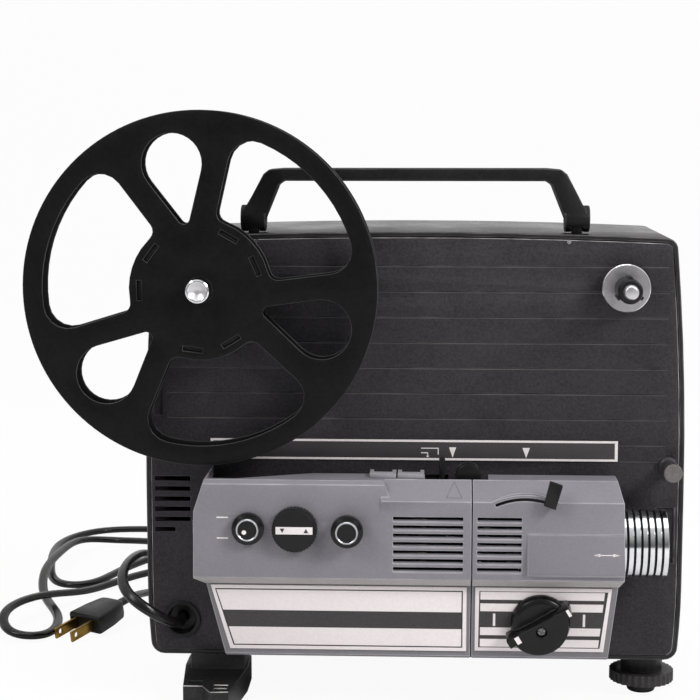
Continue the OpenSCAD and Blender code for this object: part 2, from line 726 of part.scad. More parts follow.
// Disc that drives a reel from behind
module drive_disc(x) difference() {
    turned_y(x, spindle_z) polygon([
        [0, 4], [disc_r - 4, 4], [disc_r - 4, reel_gap - 5], [disc_r - 0.8, reel_gap - 4.5],
        [disc_r, reel_gap - 3.5],
        [disc_r, reel_gap - 2], [0, reel_gap - 2]
    ]);
    rod_y(x, spindle_z, shaft_r, -reel_gap - 1, 1);
}
module takeup_disc() color("silver") placed() drive_disc(takeup_x);
module supply_disc() color("#e2e3e4") placed() drive_disc(supply_x);

// Flange of the reel: three wide windows and three narrow ones
window_turn = 42;
function window_half(ro, ri, half, co, ci) = let (
    a = half - asin(co / (ro - co)), b = half - asin(ci / (ri + ci))
) concat(
    arc(0, 0, ro, 0, a, 5),
    arc((ro - co) * cos(a), (ro - co) * sin(a), co, a + 20, half + 90, 4),
    arc((ri + ci) * cos(b), (ri + ci) * sin(b), ci, half + 90, b + 180, 4),
    arc(0, 0, ri, b * 0.6, 0, 2)
);
function mirrored(half) = concat(half, [for (i = [len(half) - 2:-1:1]) [half[i].x, -half[i].y]]);
module reel_flange(y) along_y(y, y + flange_t) translate([takeup_x, spindle_z]) difference() {
    circle(r = reel_r, $fn = 96);
    circle(r = reel_bore_r);
    for (i = [0:2]) rotate(window_turn + 120 * i)
        polygon(mirrored(window_half(reel_r - 10, core_r + 3, 35, 12, 5)));
    for (i = [0:2]) rotate(window_turn + 60 + 120 * i)
        polygon(loop_points([core_r + 4, 0], [reel_r - 25, 0], 3, 15));
    // catch slots for the film's end
    for (i = [0:2], s = [-1, 1]) rotate(window_turn + 120 * i + 19 * s)
        translate([core_r - 3.4, -5]) square([2.4, 10]);
}
module reel_front_flange() color("#1d1d1e") placed() reel_flange(reel_front);
module reel_rear_flange() color("#1d1d1e") placed() reel_flange(-reel_gap - flange_t);
module reel_core() color("#232324") placed() difference() {
    rod_y(takeup_x, spindle_z, core_r - 2.2, reel_front + flange_t, -reel_gap - flange_t);
    rod_y(takeup_x, spindle_z, reel_bore_r, reel_front, -reel_gap);
    for (a = [0:60:300]) rod_y(takeup_x + 19 * cos(a), spindle_z + 19 * sin(a), 6, reel_front, -reel_gap);
}

// Supply spindle: black hub with three lugs and a bright tip
module supply_spindle() color("#2a2a2b") placed() {
    tip = -reel_front + 8;
    reel_shaft(supply_x, reel_front, rewind_belt_y);
    turned_y(supply_x, spindle_z) polygon([
        [0, reel_gap - 2], [spindle_r, reel_gap - 2], [spindle_r, -reel_front + 3],
        [spindle_r - 0.6, -reel_front + 4],
        [3.65, -reel_front + 4], [3.65, tip - 1], [2.8, tip], [0, tip]
    ]);
    for (i = [0:2]) translate([supply_x, 0, spindle_z]) rotate([0, 120 * i + 30, 0])
        translate([spindle_r - 1, reel_front - 1.5, -1]) cube([2.2, film_space, 2]);
}

// Pin of the film roller, pressed into the panel
module roller_axle() color("silver") placed() {
    rod_y(roller_x, roller_z, 2, -21, panel_back + 2);
    rod_y(roller_x, roller_z, 4, panel_back, panel_back + 2);
}

// Flanged roller that leads the film from the supply reel
module film_roller() color("#3a383a") placed() difference() {
    turned_y(roller_x, roller_z) polygon([
        [0, 1], [4.7, 1], [4.7, 3], [3.6, 4], [3.6, 14], [4.7, 15], [4.7, 22], [0, 22]
    ]);
    rod_y(roller_x, roller_z, 2 + run_clear, -21.2, 1);
}

// Reflector lamp with its glass
lamp_x = main_x - 12;
module projection_lamp() color("#d9d6c8") placed() turned_x() polygon([
    [0, lamp_x - 20], [4, lamp_x - 20], [4, lamp_x - 14], [9, lamp_x - 10], [12.5, lamp_x - 5],
    [14, lamp_x], [12.8, lamp_x],
    [11.4, lamp_x - 4.6], [8.2, lamp_x - 9], [4, lamp_x - 12], [3, lamp_x - 6], [0, lamp_x - 5]
]);

// Ceramic socket on a bracket that stands on the panel
module lamp_socket() color("#d8d2c2") placed() difference() {
    union() {
        translate([lamp_x - 30, -axis_d - 8, axis_z - 8]) cube([12, 16, 16]);
        translate([lamp_x - 30, -axis_d + 8 - eps, axis_z - 6]) cube([4, axis_d - 8 + eps, 12]);
        translate([lamp_x - 40, -2, axis_z - 6]) cube([14, 2, 12]);
    }
    rod_x(-axis_d, axis_z, 4, lamp_x - 20, lamp_x);
}

// Polished gate plate with the picture window, on a foot against the panel
gate_x = main_x + 14;
module gate_plate() color("#c9cbcd") placed() difference() {
    union() {
        translate([gate_x, -cover_d + 7, axis_z - 14]) cube([1.2, cover_d - 7, 36]);
        translate([gate_x, -1.6, axis_z - 14]) cube([9, 1.6, 36]);
    }
    translate([gate_x - 1, -axis_d - 2.7, axis_z - 2]) cube([4, 5.4, 4]);
}

// Sprung plate that keeps the film flat, on two studs
module pressure_plate() color("#a9abad") placed() difference() {
    union() {
        translate([gate_x + 2, -axis_d - 9, axis_z - 11]) cube([1.2, 18, 24]);
        for (s = [-1, 1]) rod_x(-axis_d + 7 * s, axis_z - 8, 1, gate_x + 1.2, gate_x + 6);
    }
    translate([gate_x, -axis_d - 3.5, axis_z - 3]) cube([5, 7, 6]);
}

// Clamp ring on a foot that carries the lens
module lens_holder() color("#4a4b4e") placed() difference() {
    union() {
        rod_x(-axis_d, axis_z, barrel_r + 2.3, barrel_x + 6, barrel_x + 34);
        translate([barrel_x + 8, -axis_d + barrel_r, axis_z - 9]) cube([24, axis_d - barrel_r, 18]);
    }
    rod_x(-axis_d, axis_z, barrel_r + run_clear, barrel_x, barrel_x + 40);
}

// Focusing barrel that slides in the holder
barrel_x = gate_x + 8;
barrel_end = zoom_x - zoom_len + 10;
module lens_barrel() color("#303133") placed() difference() {
    rod_x(-axis_d, axis_z, barrel_r, barrel_x, barrel_end);
    rod_x(-axis_d, axis_z, barrel_r - barrel_wall, barrel_x + 7, barrel_end + 1);
    rod_x(-axis_d, axis_z, barrel_r - 2 * barrel_wall, barrel_x - 1, barrel_x + 8);
}
module rear_lens() color("#a9c7d8") placed() turned_x() polygon([
    [0, barrel_x + 5.5], [4, barrel_x + 6], [barrel_r - 2 * barrel_wall - 1, barrel_x + 7],
    [barrel_r - barrel_wall - 0.1, barrel_x + 7],
    [barrel_r - barrel_wall - 0.1, barrel_x + 9], [6, barrel_x + 10.5], [0, barrel_x + 11.5]
]);

// Bright ribbed ring that slides on the barrel to zoom
rib_pitch = zoom_len / zoom_ribs;
rib_shape = [[-0.9, 0], [-0.9, 0.9], [0, 1.2], [0, rib_pitch - 0.3], [-0.3, rib_pitch]];
module zoom_ring() color("#d5d6d8") placed() turned_x() polygon(concat(
    [[barrel_r + run_clear, zoom_x - zoom_len]],
    [for (i = [0:zoom_ribs - 1], p = rib_shape)
        [zoom_r + p.x, zoom_x - zoom_len + rib_pitch * i + p.y]],
    [[zoom_r - 2, zoom_x], [barrel_r + run_clear, zoom_x - 2.5]]
));
module front_lens() color("#a9c7d8") placed() turned_x() polygon([
    [0, zoom_x - 10], [barrel_r, zoom_x - 8.5], [barrel_r, zoom_x - 6], [9, zoom_x - 4.2],
    [5, zoom_x - 3.2], [0, zoom_x - 2.8]
]);

neck_half = 0.45;
// Focus lever: an arm behind the cover on a stud, a neck through the slot and a finger tab
module focus_lever() color("#1b1b1c") placed() translate([focus_x, 0, focus_z])
    rotate([0, focus_lean, 0]) {
    difference() {
        along_y(focus_arm_y, focus_arm_y + focus_arm_t) union() {
            circle(r = focus_stud_r + 1);
            translate([-2.5, 0]) square([5, focus_arc_r + neck_half]);
        }
        rod_y(0, 0, focus_stud_r + run_clear, focus_arm_y - 1, focus_arm_y + 3);
    }
    translate([-2.5, -cover_d - 4, focus_arc_r - neck_half])
        cube([5, focus_arm_y + cover_d + 5, 2 * neck_half]);
    along_y(-cover_d - 5.5, -cover_d - 2.5) polygon([
        [-3.1, focus_arc_r - 1], [3.1, focus_arc_r - 1], [2.4, focus_arc_r + 11.5],
        [-4.2, focus_arc_r + 11.5]
    ]);
}

// Slider that sets the film gauge, held in a slot of the panel
module gauge_lever() color("#1b1b1c") placed() {
    keeper = panel_back + pass_clear;
    translate([gauge_x, -film_gap - 5, gauge_z - 6]) cube([gauge_t, 5, 19.5]);
    translate([gauge_x, -film_gap - eps, gauge_z - gauge_t / 2])
        cube([gauge_t, film_gap + keeper + 2 * eps, gauge_t]);
    translate([gauge_x - 1, keeper, gauge_z - 4]) cube([gauge_t + 2, 2, 8]);
}

// Threaded bushes behind the cover that carry the small controls, and the focus lever's stud
module control_bushes() color("#9a9ca0") placed() {
    for (x = [speed_x, framer_x, button_x]) difference() {
        union() {
            rod_y(x, control_z, stem_r + 2, -cover_d, -cover_d + 12);
            rod_y(x, control_z, stem_r + 4.5, -cover_d + cover_wall, -cover_d + cover_wall + 2.4);
        }
        rod_y(x, control_z, stem_r + run_clear, -cover_d - 1, -cover_d + 13);
    }
    stud_head = focus_arm_y + focus_arm_t + pass_clear;
    rod_y(focus_x, focus_z, focus_stud_r, -cover_d + cover_wall, stud_head + 0.7);
    rod_y(focus_x, focus_z, focus_stud_r + 1.2, stud_head, stud_head + 0.7);
}

// Round knob on a stem: y is measured forward of the cover's face
module stemmed_knob(x, r, ring_r, gap, front) {
    rod_y(x, control_z, stem_r, -cover_d - gap - 1, -cover_d + 14);
    translate([0, -cover_d, 0]) turned_y(x, control_z) polygon([
        [0, gap], [r, gap], [r, front - 2.6], [r - 0.6, front - 2], [ring_r + 0.4, front - 1.2],
        [ring_r, front],
        [ring_r - 0.9, front], [ring_r - 1.3, front - 0.8], [0, front - 0.8]
    ]);
}
module speed_knob() color("#202021") placed() stemmed_knob(speed_x, skirt_r, 5.7, pass_clear, 6.2);
module loop_button() color("#202021") placed()
    stemmed_knob(button_x, skirt_r, 5.7, button_travel + pass_clear, -button_front - cover_d);

// Knurled framing knob with a marked bar
module framer_knob() color("#202021") placed() {
    flutes = 40;
    rod_y(framer_x, control_z, stem_r, -cover_d - 2, -cover_d + 14);
    along_y(-cover_d - 4.6, -cover_d - pass_clear) translate([framer_x, control_z])
        polygon(knurl(framer_r, 0.35, flutes));
    rod_y(framer_x, control_z, framer_r - 1.2, -cover_d - 5.4, -cover_d - 4);
    translate([framer_x - 9.2, -cover_d - 5.8, control_z - 1.9]) cube([18.4, 1, 3.8]);
}

// Switch behind the control plate
module rotary_switch() color("#5b3a26") placed() on_bezel(dial_x, dial_z) difference() {
    union() {
        translate([-15, bezel_wall + 4, -15]) cube([30, 9, 30]);
        rod_y(0, 0, stem_r + 3, bezel_wall, bezel_wall + 4 + eps);
    }
    rod_y(0, 0, stem_r + run_clear, 0, bezel_wall + 10);
}

// Control knob: domed disc, and on half of it a raised block with a flat wall for the thumb
grip_turn = 31;
grip_h = 13;
grip_wall = 4.3;
grip_half = 17.6;
grip_set = 3;
grip_end = asin(grip_set / dial_r);
knob_screw_r = 2.6;
knob_screw_h = 2.6;
module control_knob() color("#1b1b1c") placed() on_bezel(dial_x, dial_z) {
    base = plate_t + pass_clear;
    rod_y(0, 0, stem_r, -base - 1, bezel_wall + 8);
    difference() {
        union() {
            turned_y(0, 0) polygon([
                [0, base], [dial_r, base], [dial_r, base + 2.2], [dial_r - 1, base + 4.2],
                [dial_r - 3, base + 5.4], [0, base + 5.8]
            ]);
            rotate([0, -grip_turn, 0]) along_y(-base - grip_h, -base - 1) polygon(concat(
                [[-grip_half, 0], [-grip_half, grip_wall], [grip_half, grip_wall], [grip_half, 0]],
                arc(0, grip_set, dial_r, -grip_end, grip_end - 180, 14)
            ));
        }
        rod_y(0, 0, knob_screw_r + 0.2, -base - grip_h - 1, -base - grip_h + knob_screw_h + 0.4);
    }
}

// Cross-head screw in the control knob
module knob_screw() color("silver") placed() on_bezel(dial_x, dial_z) difference() {
    seat = plate_t + pass_clear + grip_h - knob_screw_h - 0.4;
    top = seat + knob_screw_h;
    turned_y(0, 0) polygon([
        [0, seat], [knob_screw_r, seat], [knob_screw_r, top - 1.2], [knob_screw_r - 0.7, top - 0.4], [0, top]
    ]);
    for (a = [20, 110]) rotate([0, a, 0]) translate([-2, -top - 1, -0.35]) cube([4, 2, 0.7]);
}

// Carrying handle: tapered legs with forked eyes
module handle() color("#262527") placed() {
    half = handle_w / 2;
    bar_half = bar_w / 2;
    leg = 2 * eye_r - 0.8;
    front = pivot_y - handle_d / 2;
    difference() {
        union() {
            along_y(front, front + handle_d) translate([case_cx, 0]) polygon([
                [-half, pivot_z], [-bar_half - 2, handle_top - 3], [-bar_half + 1, handle_top - 0.6],
                [-bar_half + 8, handle_top],
                [bar_half - 8, handle_top], [bar_half - 1, handle_top - 0.6],
                [bar_half + 2, handle_top - 3], [half, pivot_z],
                [half - leg, pivot_z], [bar_half - 6, handle_top - bar_t - 2],
                [bar_half - 9, handle_top - bar_t],
                [-bar_half + 9, handle_top - bar_t], [-bar_half + 6, handle_top - bar_t - 2],
                [-half + leg, pivot_z]
            ]);
            for (s = [0, 1]) let (x = case_cx - half + s * (handle_w - leg))
                rod_x(pivot_y, pivot_z, eye_r, x, x + leg);
        }
        for (s = [-1, 1]) let (x = case_cx + s * (half - leg / 2)) {
            rod_x(pivot_y, pivot_z, pivot_r + run_clear, x - leg, x + leg);
            translate([x - lug_w / 2 - pass_clear, pivot_y - 5.2, pivot_z - 20])
                cube([lug_w + 2 * pass_clear, 40, 25.2]);
        }
    }
}

// Lugs on the case that the handle turns on
lug_w = 5;
module handle_brackets() color("#262527") placed() for (s = [-1, 1]) {
    x = case_cx + s * (handle_w / 2 - eye_r + 0.4);
    seat = crown_z(x - s * lug_w / 2);
    difference() {
        union() {
            rod_x(pivot_y, pivot_z, 4.6, x - lug_w / 2, x + lug_w / 2);
            translate([x - lug_w / 2, pivot_y - 4.6, seat + 0.05]) cube([lug_w, 9.2, pivot_z - seat]);
        }
        rod_x(pivot_y, pivot_z, pivot_r, x - lug_w, x + lug_w);
    }
}

// Pins through the handle's eyes
module handle_pins() color("silver") placed() for (s = [-1, 1]) {
    x = case_cx + s * (handle_w / 2 - eye_r + 0.4);
    rod_x(pivot_y, pivot_z, pivot_r, x - eye_r + 0.8, x + eye_r - 0.8);
}

// Knurled wheel of the levelling foot
module levelling_wheel() color("#232224") placed() translate([foot_x, foot_y, wheel_z]) difference() {
    flutes = 30;
    linear_extrude(wheel_t) polygon(knurl(wheel_r, 0.8, flutes));
    translate([0, 0, -1]) cylinder(r = screw_post_r + run_clear, h = wheel_t + 2);
}

// Levelling screw with its pad
module levelling_screw() color("#2e2d2f") placed() translate([foot_x, foot_y, 0]) {
    rotate_extrude()
        polygon([[0, 0], [6.6, 0], [7.4, 0.8], [7.4, pad_h - 0.6], [6.8, pad_h], [0, pad_h]]);
    cylinder(r = screw_post_r, h = foot_h + foot_travel + 6);
}

// Left front foot: a stepped block that reaches out in front of the case
module outrigger_foot() color("#262527") placed() difference() {
    block_h = 13.5;
    recess = 2;
    union() {
        linear_extrude(block_h) polygon([
            [18, 30], [18, 12], [21.5, -25], [31.5, -25], [36.5, -35], [46, -34], [51.5, 8], [51.5, 30]
        ]);
        translate([22, 4, block_h - eps]) cube([28, 26, foot_h - block_h + eps]);
    }
    translate([37.5, -31, block_h - recess]) cube([7, 8, recess + 1]);
    translate([23.5, -21, block_h - recess]) cube([7, 5, recess + 1]);
}

// Rubber feet under the rear
module rear_feet() color("#1d1d1d") placed() for (x = [34, case_w - 34])
    translate([x, case_d - 16, 0]) rotate_extrude()
        polygon([[0, 0], [7.5, 0], [8.2, 0.8], [10, foot_h], [0, foot_h]]);

// Recessed bush that the twin lead comes out of
module cord_grommet() color("#1b1b1c") placed() difference() {
    turned_y(grommet_x, grommet_z) polygon([
        [0, -9], [grommet_r - 0.1, -9], [grommet_r - 0.1, 0], [grommet_r + 1, 0],
        [grommet_r + 1, 0.8], [grommet_r - 1.2, 0.8],
        [grommet_r - 2, -5], [0, -5]
    ]);
    rod_y(cord_points[0].x, cord_points[0].z, cord_d / 2, 0, 12);
}

// Route of the twin lead from the bush, round the left side and in loose loops on the floor:
// the control points of a smooth line, with those that pass over another stretch lifted
cord_h = cord_d / 2;
cord_pass = 0.6;
cord_up = cord_h + cord_d + cord_pass + 0.2;
cord_over = cord_h + 1.5 * (cord_d + cord_pass);
cord_points = [
    [18, 7, 41.5], [18, -13, 42], [11, -31, 51], [-7, -30, 62], [-14, -4, 68], [-11, 34, 69],
    [-8, 78, 58],
    [-4, 116, 32], [8, 152, 6], [30, 196, cord_h], [56, 250, cord_h], [60, 316, cord_h],
    [16, 366, cord_h],
    [-40, 374, cord_h], [-96, 376, cord_h], [-118, 332, cord_h], [-112, 284, cord_h], [-104, 240, cord_h],
    [-92, 210, cord_h], [-68, 214, cord_h], [-60, 252, cord_h], [-38, 300, cord_h], [0, 340, cord_h],
    [38, 318, cord_h], [14, 280, cord_h], [-30, 298, cord_over], [-74, 336, cord_h], [-100, 318, cord_up],
    [-103, 274, cord_up + 1], [-106, 228, cord_up], [-97, 184, cord_h], [-80, 150, cord_h],
    [-73, 122, cord_h],
    [-74, 95, cord_h], [-98, 89, cord_h + 2], [-109, 120, cord_over], [-90, 158, cord_over],
    [-70, 192, cord_h],
    [-52, 234, cord_h], [-22, 266, cord_h], [14, 260, cord_h], [8, 216, cord_h], [-30, 190, cord_h + 2],
    [-32, 146.4, 14.6], [-40.6, 133, 11.8]
];

// Point at t on the i-th span of a cubic B-spline that starts and ends on its own end points
function smooth(p, i, t) = let (
    n = len(p) - 1, b = p[i], c = p[i + 1],
    a = i > 0 ? p[i - 1] : 2 * p[0] - p[1], d = i + 2 <= n ? p[i + 2] : 2 * p[n] - p[n - 1]
) (pow(1 - t, 3) * a + (3 * pow(t, 3) - 6 * t * t + 4) * b + (-3 * pow(t, 3) + 3 * t * t + 3 * t + 1) * c
    + pow(t, 3) * d) / 6;
function smooth_line(p, steps) = concat(
    [for (i = [0:len(p) - 2], k = [0:steps - 1]) smooth(p, i, k / steps)], [p[len(p) - 1]]
);
cord_line = smooth_line(cord_points, 2);
function unit(v) = v / norm(v);
function heading(line, i) = unit(line[min(len(line) - 1, i + 1)] - line[max(0, i - 1)]);

// Least gap between stretches of the lead that lie well apart along it
gap_line = smooth_line(cord_points, 4);
gap_apart = 8;
cord_gap = min([
    for (i = [0:len(gap_line) - 1 - gap_apart]) min([
        for (j = [i + gap_apart:len(gap_line) - 1]) norm(gap_line[i] - gap_line[j])
    ])
]) - cord_d;
echo(cord_gap = cord_gap);

// A tube of n sides swept along a line
module tube(line, r, n) {
    rings = len(line);
    points = [for (i = [0:rings - 1]) let (
        h = heading(line, i), side = unit(cross(h, [0, 0, 1])), up = cross(side, h)
    ) for (k = [0:n - 1]) line[i] + r * (cos(360 / n * (k + 0.5)) * side + sin(360 / n * (k + 0.5)) * up)];
    faces = concat(
        [[for (k = [0:n - 1]) k]], [[for (k = [n - 1:-1:0]) (rings - 1) * n + k]],
        [for (i = [0:rings - 2], k = [0:n - 1], f = [0, 1]) let (a = i * n + k, b = i * n + (k + 1) % n)
            f == 0 ? [a, a + n, b] : [b, a + n, b + n]]
    );
    polyhedron(points, faces, convexity = 10);
}

// Twin lead, as one tube of its width
module power_cord() color("#2a2826") placed() tube(cord_line, cord_d / 2, 8);

// Moulded plug at the lead's end, in line with it, and its two blades
plug_len = 28;
plug_w = 24;
plug_h = 11;
blade_len = 18;
blade_w = 6.3;
blade_t = 1.5;
blade_off = 6.35;
plug_from = cord_points[len(cord_points) - 1];
plug_way = unit(plug_from - cord_points[len(cord_points) - 2]);
module at_plug() translate(plug_from) rotate([0, asin(-plug_way.z), atan2(plug_way.y, plug_way.x)])
    children();
module plug_body() color("#1c1b1b") placed() at_plug() intersection() {
    translate([0, 0, -plug_h]) linear_extrude(2 * plug_h) polygon([
        [0, -plug_w / 4], [4, -plug_w / 2 + 3], [plug_len / 2, -plug_w / 2 + 1], [plug_len, -plug_w / 2],
        [plug_len, plug_w / 2], [plug_len / 2, plug_w / 2 - 1], [4, plug_w / 2 - 3], [0, plug_w / 4]
    ]);
    along_y(-plug_w, plug_w) polygon([
        [0, -plug_h / 2 + 1.4], [3, -plug_h / 2 + 0.3], [plug_len - 1, -plug_h / 2],
        [plug_len, -plug_h / 2 + 1],
        [plug_len, plug_h / 2 - 1], [plug_len - 1, plug_h / 2], [3, plug_h / 2 - 0.3],
        [0, plug_h / 2 - 1.4]
    ]);
}
module plug_blades() color("#a8873e") placed() at_plug() for (s = [-1, 1]) difference() {
    translate([plug_len, s * blade_off - blade_t / 2, -blade_w / 2]) cube([blade_len, blade_t, blade_w]);
    rod_y(plug_len + blade_len - 4, 0, 1.6, s * blade_off - blade_t, s * blade_off + blade_t);
}

main_case();
front_panel();
case_screws();
legend_strip();
gate_cover();
lens_cover();
name_plate();
control_plate();
film_guide();
mechanism_plate();
shaft_bushes();
bearing_bridge();
drive_motor();
motor_shaft();
cooling_fan();
drive_belt();
sprocket_belt();
reel_belts();
main_shaft();
flywheel();
drum_shutter();
film_sprocket();
takeup_spindle();
takeup_disc();
reel_rear_flange();
reel_core();
reel_front_flange();
supply_spindle();
supply_disc();
roller_axle();
film_roller();
projection_lamp();
lamp_socket();
gate_plate();
pressure_plate();
lens_holder();
lens_barrel();
rear_lens();
zoom_ring();
front_lens();
focus_lever();
gauge_lever();
control_bushes();
speed_knob();
framer_knob();
loop_button();
rotary_switch();
control_knob();
knob_screw();
handle();
handle_brackets();
handle_pins();
levelling_wheel();
levelling_screw();
outrigger_foot();
rear_feet();
cord_grommet();
power_cord();
plug_body();
plug_blades();
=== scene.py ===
"""Looks of a table-top cine projector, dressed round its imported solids.

Places and sizes are in millimetres, from the case's left edge, the front panel's face and the floor, as in
the part's source; at() turns such a place into the frame's metres. Only the studio is given in metres.
"""

# The studio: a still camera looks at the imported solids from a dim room. The room is darkest low in front, so
# that black mouldings keep their depth and bright metal its bands.
import json
import math

import bmesh
import bpy
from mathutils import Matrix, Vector

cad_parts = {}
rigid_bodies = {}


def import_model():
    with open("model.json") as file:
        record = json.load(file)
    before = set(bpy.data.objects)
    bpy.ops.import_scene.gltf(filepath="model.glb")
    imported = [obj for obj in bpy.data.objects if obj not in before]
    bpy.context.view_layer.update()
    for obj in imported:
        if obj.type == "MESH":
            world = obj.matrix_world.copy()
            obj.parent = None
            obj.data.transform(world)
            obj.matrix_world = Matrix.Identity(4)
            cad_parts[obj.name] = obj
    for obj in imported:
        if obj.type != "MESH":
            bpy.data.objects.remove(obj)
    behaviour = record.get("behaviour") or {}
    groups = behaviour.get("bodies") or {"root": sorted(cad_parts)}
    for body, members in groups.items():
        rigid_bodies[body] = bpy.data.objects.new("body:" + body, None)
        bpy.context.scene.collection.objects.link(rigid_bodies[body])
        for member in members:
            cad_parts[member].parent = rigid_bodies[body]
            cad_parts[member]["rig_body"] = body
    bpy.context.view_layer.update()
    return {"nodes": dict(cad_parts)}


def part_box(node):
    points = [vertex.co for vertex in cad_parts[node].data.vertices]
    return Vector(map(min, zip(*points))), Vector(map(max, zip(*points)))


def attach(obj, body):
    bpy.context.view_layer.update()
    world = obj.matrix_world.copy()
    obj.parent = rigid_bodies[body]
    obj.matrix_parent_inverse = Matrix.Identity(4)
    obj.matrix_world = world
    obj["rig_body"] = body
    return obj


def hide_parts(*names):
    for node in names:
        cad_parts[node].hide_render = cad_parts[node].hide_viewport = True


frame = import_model()
scene = bpy.context.scene
scene.view_settings.view_transform = "Standard"


def linked(name, data):
    """A new object of the scene, at the origin."""
    made = bpy.data.objects.new(name, data)
    scene.collection.objects.link(made)
    return made


CAMERA_TILT = math.radians(82.7183)
CAMERA_SWING = math.radians(2.5873)
still_lens = bpy.data.cameras.new("still_camera")
still_lens.lens = 92.57
still_lens.sensor_width = 36
still_camera = linked("still_camera", still_lens)
still_camera.location = (0.036955, -0.94434, 0.30143)
still_camera.rotation_euler = (CAMERA_TILT, 0, CAMERA_SWING)
scene.camera = still_camera


class Value:
    """A socket of a node tree; sums on it add Math nodes."""

    def __init__(self, look, socket):
        self.look = look
        self.socket = socket

    def math(self, operation, *terms):
        return self.look.node("ShaderNodeMath", {"operation": operation}, dict(enumerate(terms)))

    def span(self, low, high, first=0.0, last=1.0):
        """The first number up to low and the last from high on, with a straight change between."""
        return self.look.node("ShaderNodeMapRange", {}, {
            "Value": self, "From Min": low, "From Max": high, "To Min": first, "To Max": last})

    def __add__(self, other):
        return self.math("ADD", self, other)

    def __sub__(self, other):
        return self.math("SUBTRACT", self, other)

    def __rsub__(self, other):
        return self.math("SUBTRACT", other, self)

    def __mul__(self, other):
        return self.math("MULTIPLY", self, other)

    __radd__ = __add__
    __rmul__ = __mul__


class Look:
    """A node tree in the making, and the one way in which nodes are put into it."""

    def __init__(self, tree):
        self.tree = tree

    def feed(self, socket, value):
        if isinstance(value, Value):
            self.tree.links.new(value.socket, socket)
        else:
            socket.default_value = value

    def node(self, kind, settings, sockets, output=0):
        made = self.tree.nodes.new(kind)
        for name, value in settings.items():
            setattr(made, name, value)
        for name, value in sockets.items():
            self.feed(made.inputs[name], value)
        return Value(self, made.outputs[output])

    def mix(self, share, first, second):
        """A colour between two: a Mix node has its colours in inputs 6 and 7 and in output 2."""
        return self.node("ShaderNodeMix", {"data_type": "RGBA"}, {0: share, 6: first, 7: second}, 2)

    def ray(self, kind):
        """1 on the rays of a kind, and 0 on others."""
        return self.node("ShaderNodeLightPath", {}, {}, f"Is {kind} Ray")


ROOM_FILL = 0.42
MIRRORED_LEAST = 0.14
MIRRORED_UP = 0.8
MIRRORED_BACK = 0.6
room = bpy.data.worlds.new("studio_room")
room.use_nodes = True
scene.world = room
air = Look(room.node_tree)
straight, mirror, through = (air.ray(kind) for kind in ("Camera", "Glossy", "Transmission"))
toward = air.node("ShaderNodeTexCoord", {}, {}, "Generated")
height, depth = (air.node("ShaderNodeSeparateXYZ", {}, {"Vector": toward}, axis) for axis in ("Z", "Y"))
mirrored = (height * MIRRORED_UP + depth * MIRRORED_BACK).span(-0.5, 0.6, MIRRORED_LEAST, 1.0)
seen = straight.math("MAXIMUM", straight, through)
strength = seen + (1 - seen) * (mirror * mirrored + (1 - mirror) * ROOM_FILL)
backdrop = room.node_tree.nodes["Background"]
air.feed(backdrop.inputs["Color"], (1, 1, 1, 1))
air.feed(backdrop.inputs["Strength"], strength)

# The paper sweep: a roll of white paper that lies under the object and curves up behind it to a stand. The
# camera sees it almost pure white, and it keeps the object's shadow.
METRE = 1000  # in millimetres


def paint(red, green, blue):
    """A colour in display values, as the numbers a shader takes."""
    shown = (c / 255 for c in (red, green, blue))
    return tuple(c / 12.92 if c < 0.04 else ((c + 0.055) / 1.055) ** 2.4 for c in shown) + (1,)


class Finish(Look):
    """A material, with the values that its shader has all over."""

    def __init__(self, name, **constants):
        self.material = bpy.data.materials.new(name)
        self.material.use_nodes = True
        super().__init__(self.material.node_tree)
        self.shader = self.tree.nodes["Principled BSDF"]
        self.place = self.node("ShaderNodeTexCoord", {}, {}, "Object")
        self.dress(**constants)

    def dress(self, **sockets):
        """Gives values or links to sockets of the shader."""
        for socket, value in sockets.items():
            self.feed(self.shader.inputs[socket.replace("_", " ")], value)

    def cloud(self, size, detail=3.0):
        """Noise over a piece, with spots of about a size in millimetres."""
        return self.node("ShaderNodeTexNoise", {}, {
            "Vector": self.place, "Scale": METRE / size, "Detail": detail})


SWEEP_HALF_WIDTH = 3
SWEEP = [(-2.4, 0), (1.2, 0), (1.7, 0.06), (2.05, 0.26), (2.25, 0.6), (2.3, 2.6)]
SWEEP_GLOW = 0.94
PAPER_GRAIN = 16.7
paper = bpy.data.meshes.new("paper_sweep")
paper.from_pydata(
    [(x, y, z) for y, z in SWEEP for x in (-SWEEP_HALF_WIDTH, SWEEP_HALF_WIDTH)], [],
    [(2 * i, 2 * i + 1, 2 * i + 3, 2 * i + 2) for i in range(len(SWEEP) - 1)])
paper.shade_smooth()
paper_white = Finish("paper_white", Roughness=0.9, Specular_IOR_Level=0.1)
paper_grain = paper_white.cloud(PAPER_GRAIN, 2.0)
paper_white.dress(Base_Color=paper_white.mix(paper_grain, paint(240, 239, 239), paint(246, 245, 245)))
paper_shader = Value(paper_white, paper_white.shader.outputs["BSDF"])
glow = paper_white.node("ShaderNodeEmission", {}, {"Color": (1, 1, 1, 1), "Strength": 1.0})
lifted = paper_white.node("ShaderNodeMixShader", {}, {
    0: paper_white.ray("Camera") * SWEEP_GLOW, 1: paper_shader, 2: glow})
paper_white.feed(paper_white.tree.nodes["Material Output"].inputs["Surface"], lifted)
paper.materials.append(paper_white.material)
linked("paper_sweep", paper)

